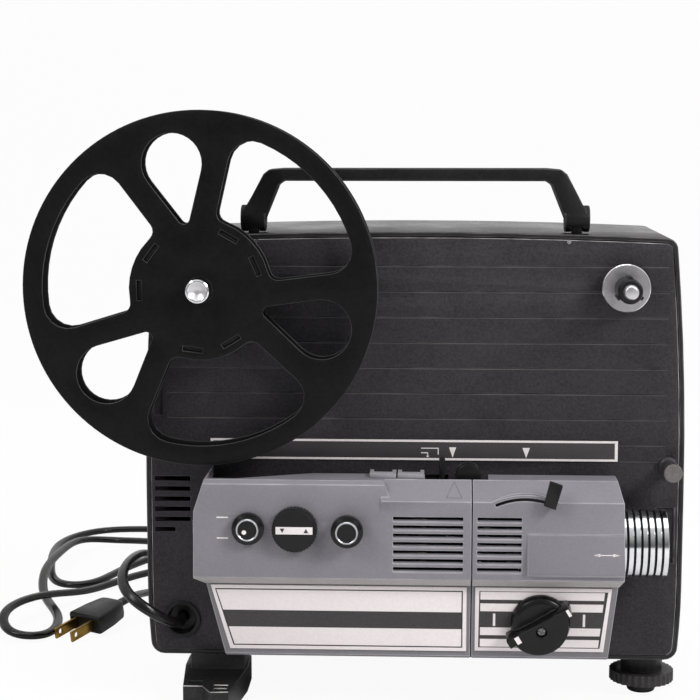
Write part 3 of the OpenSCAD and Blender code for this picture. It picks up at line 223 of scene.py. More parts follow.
# The soft boxes: three lamps behind white cloth, one on a stand at each side and a large one hung overhead.
# The right one is the strongest, so that the knobs throw soft shadows to the left.
LIT_POINT = Vector((0.02, 0, 0.12))
for name, place, size, power in (
        ("soft_box_left", (-1.15, -1.0, 1.35), 0.6, 12),
        ("soft_box_right", (1.2, -0.95, 1.15), 0.55, 22),
        ("soft_box_top", (0.0, -0.1, 1.9), 1.2, 9)):
    box_light = bpy.data.lights.new(name, "AREA")
    box_light.size = size
    box_light.energy = power
    stand = linked(name, box_light)
    stand.location = place
    stand.rotation_euler = (LIT_POINT - Vector(place)).to_track_quat("-Z", "Y").to_euler()

# The tub: sides, top and back moulded in one from black plastic with a fine leather grain. Long screws from
# the back hold it to the panel, and its front rim shows a pale broken line, partly wear and partly a painted
# highlight.
case_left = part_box("main_case")[0][0]
panel_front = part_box("front_panel")[0][1]
FRAME_ORIGIN = Vector((-case_left, -panel_front, 0)) * METRE
HANDLING_SPOT = 28
HANDLING_ROUGH = 0.14
GRAIN_DEPTH = 0.3


def moulded(name, dark, pale, grain=0.9, relief=0.25, rough=0.45, gloss=0.2):
    """Moulded plastic: two close shades in a fine grain, with handling marks in the roughness."""
    look = Finish(name, Specular_IOR_Level=gloss)
    fine = look.cloud(grain)
    broad = look.cloud(HANDLING_SPOT, 4.0)
    share = (fine * 0.7 + broad * 0.3).span(0.36, 0.64)
    look.dress(
        Base_Color=look.mix(share, paint(*dark), paint(*pale)),
        Roughness=rough + HANDLING_ROUGH * (broad.span(0.3, 0.7) - 0.5),
        Normal=look.node("ShaderNodeBump", {}, {
            "Height": fine, "Strength": relief, "Distance": GRAIN_DEPTH / METRE}))
    return look


def edge_wear_and_highlight(name, under, pale_bare_and_lit, spots=14):
    """A pale edge line, paler in patches: partly paint rubbed off by handling, partly a painted highlight."""
    look = Finish(name, Specular_IOR_Level=0.25)
    wear_and_highlight_mask = look.cloud(spots, 4.0).span(0.3, 0.7)
    look.dress(Base_Color=look.mix(wear_and_highlight_mask, paint(*under), paint(*pale_bare_and_lit)), Roughness=0.34 + 0.2 * wear_and_highlight_mask)
    return look


def mesh_of(shell, name):
    """The mesh of a shell that is finished."""
    mesh = bpy.data.meshes.new(name)
    shell.to_mesh(mesh)
    shell.free()
    return mesh


def baked(draft, name):
    """The plain mesh that a draft's modifier leaves. The draft goes."""
    graph = bpy.context.evaluated_depsgraph_get()
    mesh = bpy.data.meshes.new_from_object(draft.evaluated_get(graph))
    mesh.name = name
    bpy.data.objects.remove(draft)
    return mesh


def piece(name, mesh, body):
    """A finished piece of the object, on the body that carries it."""
    made = linked(name, mesh)
    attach(made, body)
    return made


def instead(node, name, mesh):
    """A piece in the place of a node, on the node's own body."""
    made = piece(name, mesh, frame["nodes"][node]["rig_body"])
    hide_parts(node)
    return made


WELD = 0.002
EASED_ANGLE = math.radians(28)
EASED_STEPS = 2


def eased(node, name, width, slot, *looks, where=None):
    """The solid of a node with its edges eased by a width, in the node's place. A second look goes on the
    eased edges, and where(centre, normal, look) may give a face another one."""
    shell = bmesh.new()
    shell.from_mesh(frame["nodes"][node].data)
    bmesh.ops.remove_doubles(shell, verts=shell.verts, dist=WELD / METRE)
    mesh = mesh_of(shell, name)
    mesh.shade_smooth()
    for look in looks:
        mesh.materials.append(look.material)
    draft = linked(name + "_draft", mesh)
    if width:
        ease = draft.modifiers.new("ease", "BEVEL")
        ease.width = width / METRE
        ease.segments = EASED_STEPS
        ease.limit_method = "ANGLE"
        ease.angle_limit = EASED_ANGLE
        ease.use_clamp_overlap = False
        ease.loop_slide = False
        ease.harden_normals = True
        ease.material = 1 if len(looks) > 1 else -1
    else:
        mesh.set_sharp_from_angle(angle=EASED_ANGLE)
    mesh = baked(draft, name)
    if where:
        for face in mesh.polygons:
            look = where(face.center * METRE + FRAME_ORIGIN, face.normal, looks[face.material_index])
            face.material_index = looks.index(look)
    return instead(node, name, mesh)


tub_black = moulded("tub_black", (24, 23, 24), (38, 36, 38), grain=1.1, relief=0.35, rough=0.4, gloss=0.25)
# pale eased edges of the tub: partly wear, partly a painted highlight
tub_edge_wear_and_highlight = edge_wear_and_highlight("tub_worn_edge", (32, 31, 32), (92, 89, 90))
tub_top = moulded("tub_top", (20, 19, 20), (30, 29, 30), grain=1.1, relief=0.08, rough=0.27, gloss=0.7)
TUB_TOP_LEAST = 230


def tub_look(centre, normal, look):
    """The level top is smoother than the sides, so it has a look of its own."""
    return tub_top if normal.z > 0.9 and centre.z > TUB_TOP_LEAST else look


eased("main_case", "case_tub", 0.6, "case_plastic", tub_black, tub_edge_wear_and_highlight, tub_top, where=tub_look)

# The front panel: a charcoal moulding with a pebbled face, eight moulded lines and side vents, screwed to the
# tub from behind. Each line's lip shows as a thin pale thread, a painted highlight.
panel_charcoal = moulded("panel_charcoal", (36, 34, 37), (53, 50, 54), grain=1.2, relief=0.45, rough=0.55)
# pale eased edges: partly wear, partly a painted highlight; the rim's forward edges get a paler painted
# highlight
panel_edge_wear_and_highlight = edge_wear_and_highlight("panel_worn_edge", (42, 40, 42), (84, 81, 82))
panel_rim_highlight = edge_wear_and_highlight("panel_rubbed_rim", (70, 68, 69), (178, 173, 173), spots=10)
RIM_TOP_LEAST = 235
RIM_LEFT_MOST = 4.3
RIM_RIGHT_LEAST = 271


def panel_look(centre, normal, look):
    """The rim's eased edges that face forward get a paler painted highlight than those of the lines and vents.
    """
    on_rim = centre.z > RIM_TOP_LEAST or not RIM_LEFT_MOST < centre.x < RIM_RIGHT_LEAST
    return panel_rim_highlight if look is panel_edge_wear_and_highlight and on_rim and normal.y < -0.2 else look


eased("front_panel", "panel_face", 0.28, "panel_plastic", panel_charcoal, panel_edge_wear_and_highlight, panel_rim_highlight,
      where=panel_look)


def at(x, y, z):
    """A place in case millimetres, as a point of the frame."""
    return (Vector((x, y, z)) - FRAME_ORIGIN) / METRE


rods = Look(bpy.data.node_groups.new("rods_in_a_row", "GeometryNodeTree"))
rods.tree.interface.new_socket("Geometry", in_out="OUTPUT", socket_type="NodeSocketGeometry")
for size, kind in (
        ("Count", "Int"), ("Step", "Vector"), ("First", "Vector"), ("Run", "Vector"), ("Radius", "Float"),
        ("Sides", "Int"), ("Finish", "Material")):
    rods.tree.interface.new_socket(size, in_out="INPUT", socket_type="NodeSocket" + kind)
given = {socket.name: Value(rods, socket) for socket in rods.tree.nodes.new("NodeGroupInput").outputs}
rod_places = rods.node("GeometryNodeMeshLine", {}, {
    "Count": given["Count"], "Start Location": given["First"], "Offset": given["Step"]})
rod_path = rods.node("GeometryNodeCurvePrimitiveLine", {}, {"End": given["Run"]})
rod_section = rods.node("GeometryNodeCurvePrimitiveCircle", {}, {
    "Resolution": given["Sides"], "Radius": given["Radius"]})
rod = rods.node("GeometryNodeCurveToMesh", {}, {
    "Curve": rod_path, "Profile Curve": rod_section, "Fill Caps": True})
rod_copies = rods.node("GeometryNodeInstanceOnPoints", {}, {"Points": rod_places, "Instance": rod})
rod_row_real = rods.node("GeometryNodeRealizeInstances", {}, {"Geometry": rod_copies})
rod_row_smooth = rods.node("GeometryNodeSetShadeSmooth", {}, {"Geometry": rod_row_real})
rod_row_done = rods.node("GeometryNodeSetMaterial", {}, {
    "Geometry": rod_row_smooth, "Material": given["Finish"]})
rods.feed(rods.tree.nodes.new("NodeGroupOutput").inputs["Geometry"], rod_row_done)


def rod_row(name, look, first, run, radius, count=1, rise=0.0, sides=8):
    """Level rods over one another, each higher by a rise: grown by the tree, then left as a plain mesh."""
    sizes = {
        "Count": count, "Step": Vector((0, 0, rise)) / METRE, "First": at(*first),
        "Run": Vector((run, 0, 0)) / METRE, "Radius": radius / METRE, "Sides": sides, "Finish": look.material}
    seed = linked(name + "_seed", bpy.data.meshes.new(name + "_seed"))
    grow = seed.modifiers.new("grow", "NODES")
    grow.node_group = rods.tree
    for socket in rods.tree.interface.items_tree:
        if socket.in_out == "INPUT":
            grow[socket.identifier] = sizes[socket.name]
    return piece(name, baked(seed, name), "projector")


# the pale threads in the lips of the panel's lines are a painted highlight
THREAD_RADIUS = 0.16
THREAD_SUNK = 0.12
line_thread = edge_wear_and_highlight("line_thread", (56, 54, 56), (92, 89, 90), spots=22)
rod_row("panel_line_highlights", line_thread, first=(12.4, THREAD_SUNK, 227.35), run=255.2,
        radius=THREAD_RADIUS, count=8, rise=-13.1, sides=6)
rod_row("strip_side_highlight", line_thread, first=(245.2, THREAD_SUNK, 127.35), run=21.4,
        radius=THREAD_RADIUS, sides=6)

# The black strip over the covers: a printed foil stuck to the panel. A pale border runs round it, with
# pointers and bent lines that mark where the film goes in.
strip_ink = moulded("strip_ink", (58, 55, 57), (66, 63, 65), grain=0.7, relief=0.1, rough=0.42)
strip_white = moulded("strip_white", (214, 206, 206), (232, 226, 226), grain=0.8, relief=0.1, rough=0.5)
eased("legend_strip", "legend_foil", 0.08, "print_black", strip_ink)


def case_box(node):
    """The low and the high corner of a node's box, in case millimetres."""
    return [Vector(corner) * METRE + FRAME_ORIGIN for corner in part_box(node)]


def printed(name, shapes, face, look, rise=0.06, body="projector"):
    """Ink or another thin piece on a face: each shape, given by its corners, stands up from it by a rise."""
    ink = bmesh.new()
    for shape in shapes:
        under = [ink.verts.new(face(x, z, 0)) for x, z in shape]
        over = [ink.verts.new(face(x, z, rise)) for x, z in shape]
        ink.faces.new(over)
        ink.faces.new(under[::-1])
        for i in range(len(shape)):
            ink.faces.new((under[i - 1], under[i], over[i], over[i - 1]))
    bmesh.ops.recalc_face_normals(ink, faces=ink.faces)
    mesh = mesh_of(ink, name)
    mesh.materials.append(look.material)
    return piece(name, mesh, body)


def upright(y):
    """A face that stands at depth y."""
    return lambda x, z, rise: at(x, y - rise, z)


def bar(x0, z0, x1, z1):
    """A level block of ink between two corners."""
    return [(x0, z0), (x1, z0), (x1, z1), (x0, z1)]


def border(outer, inner):
    """Four mitred lines between two outlines of four corners."""
    return [[outer[i - 1], outer[i], inner[i], inner[i - 1]] for i in range(4)]


def pointer(left, right, base, tip):
    """A triangle of ink that points up or down."""
    return [(left, base), (right, base), ((left + right) / 2, tip)]


BORDER_OUT = 0.2
BORDER_IN_SIDE = 1.7
BORDER_IN_LEVEL = 1.3
LINE_THICK = 0.5
LINE_LAP = 0.1


def bent_line(left, right, level, foot):
    """A level line that turns down at its right end."""
    turn_down = bar(right - LINE_THICK, foot, right, level + LINE_LAP)
    return [bar(left, level, right, level + LINE_THICK), turn_down]


strip_low, strip_high = case_box("legend_strip")


def within_strip(side, level):
    """The strip's outline, moved in at its sides and at its top and foot."""
    return bar(strip_low.x + side, strip_low.z + level, strip_high.x - side, strip_high.z - level)


strip_marks = border(within_strip(BORDER_OUT, BORDER_OUT), within_strip(BORDER_IN_SIDE, BORDER_IN_LEVEL))
strip_marks += [pointer(157.3, 161.0, 134.3, 128.9), pointer(195.0, 198.8, 134.3, 128.9)]
strip_marks += bent_line(142.9, 152.0, 133.5, 130.4) + bent_line(142.9, 146.6, 131.1, 129.6)
strip_marks.append(pointer(145.4, 147.3, 129.8, 128.9))
printed("strip_marks", strip_marks, upright(strip_low.y), strip_white)

# The grey covers: two painted mouldings hooked on the panel. The left one hides lamp and film path and has
# ribs for a finger, and the right one hides the lens. Below a lip, a sloping apron carries the plates.
COVER_FACE = -40
COVER_AHEAD = -25
APRON_MOST = 70.4
LIP_LEAST = 69
LIP_MOST = 76
cover_grey = moulded("cover_grey", (116, 114, 120), (123, 121, 127), relief=0.08, rough=0.46, gloss=0.3)
# pale eased edges of the covers: partly wear, partly a painted highlight
cover_edge_wear_and_highlight = edge_wear_and_highlight("cover_worn_edge", (132, 130, 136), (158, 156, 161))
apron_grey = moulded("apron_grey", (108, 106, 110), (116, 114, 118), relief=0.08, rough=0.46, gloss=0.3)
# the lip's paler grey is painted light from the floor below it; the same grey makes the louvres' pale lip
# rods, a painted highlight
lip_grey = moulded("lip_grey", (146, 142, 142), (158, 154, 153), relief=0.08, rough=0.4, gloss=0.3)
guide_grey = moulded("guide_grey", (128, 127, 131), (146, 144, 149), relief=0.2)


def cover_look(centre, normal, look):
    """A cover's own look, the apron's, or the lip's paler grey: painted light from the pale floor that the lip
    faces.
    """
    if look is cover_edge_wear_and_highlight or centre.y > COVER_AHEAD or centre.z > LIP_MOST:
        return look
    if normal.z < -0.4 and centre.z > LIP_LEAST:
        return lip_grey
    return apron_grey if centre.z < APRON_MOST else look


for node, name in (("gate_cover", "film_gate_cover"), ("lens_cover", "lens_side_cover")):
    eased(node, name, 0.35, "grey_plastic", cover_grey, cover_edge_wear_and_highlight, apron_grey, lip_grey, where=cover_look)
eased("film_guide", "film_guide_tabs", 0.3, "grey_plastic", guide_grey)
rod_row("cover_finger_ribs", guide_grey, first=(29.5, COVER_FACE + 0.3, 103.2), run=2.6,
        radius=0.3, count=6, rise=-1.25)

# The end of the control side: the left cover's own moulding, where the controls' face stands out of the lamp's
# slope. A leaning wall closes it, with a painted highlight along its edge, and its foot lies in the slope.
STEP_X = 127.2
STEP_Z = 115
STEP_LEAN = 3 / 9.5
STEP_SUNK = 0.4


def leaning(y, z_low, rise_back):
    """A face that leans back by a share of its height above a line at y and z_low."""
    return lambda x, z, rise: at(x, y + rise_back * (z - z_low) - rise, z)


def step_end(y, z, rise):
    """A place on the leaning end wall."""
    return at(STEP_X - STEP_LEAN * (z - STEP_Z) + rise, y, z)


control_face = leaning(COVER_FACE, 108, 3 / 13.5)
slope = leaning(COVER_FACE, 114, 9 / 9.5)
sunk_slope = leaning(COVER_FACE + STEP_SUNK, 114, 9 / 9.5)
printed("step_end_wall", [[(-38.26, 115.83), (-31, 123.5), (-35, 123.5), (-37, 121.5)]], step_end,
        cover_grey, rise=0.35)
printed("step_foot", [bar(124.7, 117.4, 128.2, 122.6)], sunk_slope, cover_grey,
        rise=STEP_SUNK + 0.03)
# a thin pale strip along the end wall's edge: a painted highlight
printed("step_edge_highlight", [[(126.9, 115.9), (127.2, 115.9), (125.45, 121.4), (125.15, 121.4)]],
        control_face, cover_edge_wear_and_highlight)

# The louvres: slots moulded through both covers to let the lamp's heat out. Dark baffles stand behind them, so
# that no light gets straight out, and their black also paints the shade seen through the slots. Pale rods
# along the slots' lower lips are a painted highlight of the light from above.
LOUVRES = 7
LOUVRE_PITCH = 4.25
BAFFLE_Y = -34.6
BAFFLE_Z = 79.8
SLOT_LIP_Y = COVER_FACE + 0.25
SLOT_LIP_Z = 77.85
SLOT_LIP_SHORT = 0.4
# black baffle rods that also paint the shade inside the slots, and pale rods on the slots' lower lips, a
# painted highlight
baffle_black = moulded("baffle_black", (14, 14, 14), (22, 22, 22), grain=1.2, relief=0.3, rough=0.7)
for side, left, run in (("left", 129.0, 35.4), ("right", 170.9, 22.6)):
    rod_row("louvre_baffles_" + side, baffle_black, first=(left, BAFFLE_Y, BAFFLE_Z),
            run=run, radius=1.2, count=LOUVRES, rise=LOUVRE_PITCH)
    rod_row("louvre_lip_highlights_" + side, lip_grey,
            first=(left + SLOT_LIP_SHORT, SLOT_LIP_Y, SLOT_LIP_Z), run=run - 2 * SLOT_LIP_SHORT, radius=0.3,
            count=LOUVRES, rise=LOUVRE_PITCH)

# The printed plates: thin white sheets glued to the apron, with dark rules and bands. The right one marks the
# control knob's places by plain bars and ticks.
PLATE_THICK = 0.8
PLATE_TOP = 69.2
RULE_OUT = 1.8
RULE_IN = 2.4
APRON_Y = -28
APRON_Z = 32
APRON_LEAN = 5
APRON_HEIGHT = 38.5
APRON_UP = Vector((0, -APRON_LEAN, APRON_HEIGHT)).normalized()
APRON_OUT = Vector((0, -APRON_HEIGHT, -APRON_LEAN)).normalized()
plate_white = moulded("plate_white", (215, 207, 208), (221, 214, 215), grain=1.4, relief=0.05, rough=0.42)
plate_ink = moulded("plate_ink", (54, 52, 53), (63, 61, 62), grain=1.0, relief=0.05)
eased("name_plate", "left_plate", 0.12, "print_white", plate_white)
eased("control_plate", "right_plate", 0.12, "print_white", plate_white)


def on_apron(x, z):
    """A place on the apron itself, in case millimetres."""
    return Vector((x, APRON_Y - APRON_LEAN * (z - APRON_Z) / APRON_HEIGHT, z))


def plate_face(x, z, rise):
    """A place on the plates' face, by its height on the apron."""
    return at(*(on_apron(x, z) + APRON_OUT * (PLATE_THICK + rise)))


def slanted(left_top, left_low, right_top, right_low, low, inset):
    """Corners of a plate with leaning sides, moved in from its edge."""
    return [
        (left_top + inset * 1.1, PLATE_TOP - inset), (left_low + inset * 0.9, low + inset),
        (right_low - inset, low + inset), (right_top - inset, PLATE_TOP - inset)]


left_sides = (37.6, 46.7, 166.2, 166.2, 35.1)
right_sides = (170.7, 170.7, 238.7, 235.2, 35.5)
left_band = [(43.3, 55.9), (45.7, 46.9), (163.9, 46.9), (163.9, 55.9)]
left_rules = border(slanted(*left_sides, RULE_OUT), slanted(*left_sides, RULE_IN))
printed("left_plate_rules", left_rules + [left_band], plate_face, plate_ink)
printed("right_plate_field", [slanted(*right_sides, RULE_OUT)], plate_face, plate_ink)
BAR_LEFT = 173.2
BAR_HIGH = 4.15
BAR_LEAN = 0.4


def plate_bar(top, right):
    """A pale bar of the right plate, whose right end leans with the plate's side."""
    foot = top - BAR_HIGH
    return [(BAR_LEFT, foot), (right - BAR_LEAN, foot), (right, top), (BAR_LEFT, top)]


plate_bars = [plate_bar(67.1, 235.3), plate_bar(60.9, 234.7), plate_bar(48.1, 233.6), plate_bar(41.9, 233.0)]
plate_ticks = [bar(x, 48.9, x + 1.2, 55.5) for x in (179.6, 224.6)]
printed("right_plate_bars", plate_bars + plate_ticks, plate_face, plate_white, rise=0.11)

# Marks on the covers: ticks beside the speed knob, a double arrow for the zoom on the swelling of the lens,
# and a triangle on the lamp's slope. The first two are printed, and the triangle is moulded in; its groove is
# drawn in a darker grey, as painted shade.
# the triangle's darker grey is painted shade in its moulded groove
groove_grey = moulded("groove_grey", (92, 90, 95), (104, 102, 107), relief=0.1, rough=0.5)
swelling = leaning(-40.6, 98.1, 0.125)
speed_ticks = [bar(41.5, z, 47.2, z + 0.6) for z in (104.9, 94.4)]
printed("speed_ticks", speed_ticks, upright(COVER_FACE), strip_white)
printed("zoom_arrow", [
    bar(229.8, 88.1, 240.2, 88.5), [(228.6, 88.3), (231.8, 87.5), (231.8, 89.1)],
    [(241.4, 88.3), (238.2, 89.1), (238.2, 87.5)]], swelling, strip_white)
TRIANGLE = [(155.6, 115.6), (159.5, 122.6), (163.4, 115.6)]
GROOVE = 0.35
triangle_sides = [
    [(x0, z0), (x1, z1), (x1 + GROOVE, z1), (x0 + GROOVE, z0)]
    for (x0, z0), (x1, z1) in zip(TRIANGLE, TRIANGLE[1:])]
triangle_foot = bar(155.6, 115.6, 163.7, 115.9)
printed("entry_triangle", triangle_sides + [triangle_foot], slope, groove_grey, rise=0.03)

# The reel: three black mouldings snapped together, with a collar on the core behind the catches. Windows
# lighten the flanges, and lips stiffen their edges, whose eased edges carry a patchy pale painted highlight.
reel_black = moulded("reel_black", (12, 12, 13), (18, 18, 19), grain=1.6, relief=0.15, rough=0.42, gloss=0.1)
# pale patches on the reel's eased edges: a painted highlight
reel_edge_highlight = edge_wear_and_highlight("reel_polished_edge", (20, 20, 21), (58, 58, 59), spots=16)
for node, name in (
        ("reel_front_flange", "reel_front"), ("reel_rear_flange", "reel_rear"), ("reel_core", "reel_hub")):
    eased(node, name, 0.3, "reel_plastic", reel_black, reel_edge_highlight)


def banded(shell, first, second):
    """The faces between two rings of points. A ring of one point makes a fan."""
    faces = []
    for k in range(max(len(first), len(second))):
        corners = dict.fromkeys(
            ring[j % len(ring)] for ring, j in ((first, k), (first, k + 1), (second, k + 1), (second, k)))
        if len(corners) > 2:
            faces.append(shell.faces.new(tuple(corners)))
    return faces


LATHE_SHARP = math.radians(24)


def lathe(name, spot, outward, *stretches, sides=72):
    """A turned mesh. Each stretch of its outline is a look and points of radius and distance outward. The
    outline closes on itself where it does not start on the axis."""
    looks = list(dict.fromkeys(look for look, _ in stretches))
    outline = [(radius, reach, looks.index(look)) for look, points in stretches for radius, reach in points]
    outward = Vector(outward)
    across = outward.orthogonal().normalized()
    along = outward.cross(across)
    turns = [math.tau * k / sides for k in range(sides)]
    spokes = [across * math.cos(turn) + along * math.sin(turn) for turn in turns]
    shell = bmesh.new()
    rings = []
    for radius, reach, _ in outline:
        centre = at(*spot) + outward * reach / METRE
        around = spokes if radius else spokes[:1]
        rings.append([shell.verts.new(centre + spoke * radius / METRE) for spoke in around])
    if outline[0][0]:
        rings.append(rings[0])
    for (_, _, number), first, second in zip(outline, rings, rings[1:]):
        for face in banded(shell, first, second):
            face.material_index = number
    bmesh.ops.recalc_face_normals(shell, faces=shell.faces)
    mesh = mesh_of(shell, name)
    mesh.shade_smooth()
    mesh.set_sharp_from_angle(angle=LATHE_SHARP)
    for look in looks:
        mesh.materials.append(look.material)
    return mesh


def axis_of(node):
    """Where the axis of a round node that points forward meets the panel's face."""
    low, high = case_box(node)
    return ((low.x + high.x) / 2, 0, (low.z + high.z) / 2)


FORWARD = (0, -1, 0)
COLLAR_IN = 30.1
COLLAR_OUT = 32.0
collar_front = -case_box("reel_core")[0].y - 0.2
collar_back = collar_front - 1.2
collar = lathe("core_collar", axis_of("reel_core"), FORWARD, (reel_black, [
    (COLLAR_IN, collar_front), (COLLAR_OUT, collar_front),
    (COLLAR_OUT, collar_back), (COLLAR_IN, collar_back)]))
piece("core_collar", collar, frame["nodes"]["reel_core"]["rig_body"])

# The spindles: turned bright metal on the take-up side, with a dished end, and a black hub with a bright tip
# on the supply side. Each has a disc behind it, pressed on, that carries the reel.
POLISH_DEPTH = 0.2


def metal(name, dark, pale, rough=0.12, grain=0.6):
    """Bright metal with fine polishing marks and a few duller patches."""
    look = Finish(name, Metallic=1.0)
    marks = look.cloud(grain, 2.0)
    patches = look.cloud(9, 4.0)
    look.dress(
        Base_Color=look.mix(patches.span(0.3, 0.7), paint(*dark), paint(*pale)),
        Roughness=rough + 0.12 * patches.span(0.45, 0.75),
        Normal=look.node("ShaderNodeBump", {}, {
            "Height": marks, "Strength": 0.06, "Distance": POLISH_DEPTH / METRE}))
    return look


def turned(node, name, slot, spot, outward, *stretches, sides=72):
    """A piece from the lathe in a node's place."""
    return instead(node, name, lathe(name, spot, outward, *stretches, sides=sides))


def parted(y, front, behind):
    """One look for the faces in front of a depth, and another for those behind it."""
    return lambda centre, normal, look: front if centre.y < y else behind


bright_chrome = metal("bright_chrome", (206, 207, 210), (226, 226, 229))
turned_steel = metal("turned_steel", (168, 170, 173), (190, 191, 194), rough=0.26)
satin_steel = metal("satin_steel", (192, 190, 194), (210, 208, 212), rough=0.4)
disc_steel = metal("disc_steel", (158, 156, 160), (184, 182, 186), rough=0.36)
hub_black = moulded("hub_black", (18, 18, 19), (28, 28, 29), grain=0.8, relief=0.2, rough=0.32)
ARBOR = [
    (0, -41), (2.5, -41), (2.5, -40), (15, -40), (15, -39), (13, -39), (13, -33), (15, -33), (15, -32),
    (2.5, -32), (2.5, 9), (6.1, 9), (6.1, 33.9), (5.9, 34.6), (5.3, 35), (4.7, 35)]
DISHED_END = [(4.4, 34.8), (2.8, 33.4), (1.2, 32.8), (0, 32.7)]
turned("takeup_spindle", "takeup_arbor", "chrome", axis_of("takeup_disc"), FORWARD,
       (bright_chrome, ARBOR), (satin_steel, DISHED_END))
for node, name in (("takeup_disc", "takeup_carrier"), ("supply_disc", "supply_carrier")):
    turned(node, name, "chrome", axis_of(node), FORWARD,
           (disc_steel, [(2.5, 4), (8.2, 4), (8.2, 6), (11.4, 6.5)]),
           (bright_chrome, [(12.0, 7), (12.2, 7.5), (12.2, 8.6)]),
           (disc_steel, [(11.8, 9), (2.5, 9)]))
eased("supply_spindle", "supply_arbor", 0.25, "black_plastic", hub_black, satin_steel,
      where=parted(-29.3, satin_steel, hub_black))

# The film's way: a black moulded sprocket with a domed end, the gauge slider beside it, and the roller that
# leads the film in from the supply reel and turns on a steel pin in the panel.
roller_grey = moulded("roller_grey", (46, 44, 46), (62, 59, 61), grain=1.0, relief=0.2, rough=0.4)
roller_end = moulded("roller_end", (92, 88, 88), (108, 104, 104), grain=1.0, relief=0.2, rough=0.36)
eased("film_sprocket", "drive_sprocket", 0.12, "black_plastic", hub_black)
eased("gauge_lever", "gauge_slider", 0.3, "black_plastic", hub_black)
turned("film_roller", "lead_roller", "black_plastic", axis_of("film_roller"), FORWARD,
       (roller_grey, [(2.05, 1), (4.5, 1), (4.7, 1.2), (4.7, 3), (3.6, 4), (3.6, 14), (4.7, 15)]),
       (roller_end, [(4.7, 21.6), (4.3, 22), (0.6, 22), (0, 22), (0, 21.2)]),
       (roller_grey, [(2.05, 21.2)]))
eased("roller_axle", "roller_pin", 0.2, "steel", turned_steel)

# The zoom lens: a bright ribbed ring that slides on a black moulded barrel, which holds coated glass at both
# ends. The ring's grooves are painted black, as shade. The focus lever comes out through its slot in the
# cover.
RIBS = 9
GRIP_RADIUS = 17.3
GROOVE_RADIUS = 16.1
GROOVE_WIDE = 0.95
BORE_RADIUS = 13.05


def tinted_glass(name, clear, rough, index, spots, first, second):
    """Glass with a coating that goes from one tint to another."""
    look = Finish(name, Transmission_Weight=clear, Roughness=rough, IOR=index)
    look.dress(Base_Color=look.mix(look.cloud(spots).span(0.3, 0.7), paint(*first), paint(*second)))
    return look


coated_glass = tinted_glass("coated_glass", 0.85, 0.03, 1.52, 14, (150, 176, 200), (186, 172, 206))
barrel_black = moulded("barrel_black", (24, 24, 25), (36, 36, 37), grain=0.6, relief=0.2, rough=0.4)
# the black in the ring's grooves is painted shade
groove_black = moulded("groove_black", (8, 8, 8), (14, 14, 14), grain=0.6, relief=0.1, rough=0.4)
ring_low, ring_high = case_box("zoom_ring")
ring_long = ring_high.x - ring_low.x
ring_spot = (ring_low.x, (ring_low.y + ring_high.y) / 2, (ring_low.z + ring_high.z) / 2)
rib_pitch = ring_long / RIBS
zoom_stretches = [(bright_chrome, [(BORE_RADIUS, 0)])]
for i in range(RIBS):
    groove = rib_pitch * i
    rib = groove + GROOVE_WIDE
    end = groove + rib_pitch
    zoom_stretches += [
        (groove_black, [(GROOVE_RADIUS, groove)]),
        (bright_chrome, [(GROOVE_RADIUS, rib), (GRIP_RADIUS - 0.25, rib + 0.05), (GRIP_RADIUS, rib + 0.2),
                         (GRIP_RADIUS, end - 0.2)]),
        (groove_black, [(GRIP_RADIUS - 0.2, end)])]
zoom_stretches.append((groove_black, [
    (15.6, ring_long), (15.2, ring_long - 0.2), (BORE_RADIUS, ring_long - 2.5)]))
turned("zoom_ring", "zoom_grip_ring", "chrome", ring_spot, (1, 0, 0), *zoom_stretches, sides=120)
eased("front_lens", "front_glass", 0.0, "lens_glass", coated_glass)
eased("rear_lens", "rear_glass", 0.0, "lens_glass", coated_glass)
eased("lens_barrel", "focus_barrel", 0.2, "black_plastic", barrel_black)
eased("focus_lever", "focus_tab", 0.3, "black_plastic", hub_black)

# The controls: black mouldings pushed on their stems. Speed knob and loop button have a bright ring pressed
# on, the knurled framing knob a pale bar, and the large control knob a grip across its round dial.
RING_SUNK = 0.8
knob_black = moulded("knob_black", (9, 9, 10), (15, 15, 16), grain=0.8, relief=0.06, rough=0.24, gloss=0.24)
dish_black = moulded("dish_black", (20, 20, 21), (28, 28, 29), grain=0.8, relief=0.1, rough=0.4)
screw_steel = metal("screw_steel", (96, 95, 95), (122, 121, 120), rough=0.34)


def ringed_knob(node, name, gap):
    """A small knob on its stem, a gap clear of the cover, with a bright ring on its end."""
    x, _, z = axis_of(node)
    front = COVER_FACE - case_box(node)[0].y
    turned(node, name, "black_plastic", (x, COVER_FACE, z), FORWARD,
           (knob_black, [(0, -14), (2.5, -14), (2.5, gap), (7.8, gap), (8, gap + 0.2), (8, front - 2.6),
                         (7.8, front - 2.2), (7.4, front - 2)]),
           (turned_steel, [(5.8, front - 1.2), (5.65, front - 0.3), (5.4, front), (5.0, front),
                           (4.8, front - 0.15)]),
           (dish_black, [(4.6, front - RING_SUNK), (0, front - RING_SUNK)]))


def disc(x, z, radius, count=24):
    """The corners of a round dot."""
    turns = [math.tau * i / count for i in range(count)]
    return [(x + radius * math.cos(turn), z + radius * math.sin(turn)) for turn in turns]


ringed_knob("speed_knob", "speed_selector", 0.3)
ringed_knob("loop_button", "loop_plunger", 4.3)
framer_front = case_box("framer_knob")[0].y
eased("framer_knob", "framing_knob", 0.15, "black_plastic", dish_black, plate_white,
      where=parted(framer_front + 0.05, plate_white, dish_black))
eased("control_knob", "mode_knob", 0.25, "black_plastic", knob_black)
eased("knob_screw", "mode_knob_screw", 0.1, "steel", screw_steel)
KNOB_MIDDLE = on_apron(203.3, 51.3)
GRIP_TURN = math.radians(31)
GRIP_FACE = 14.1


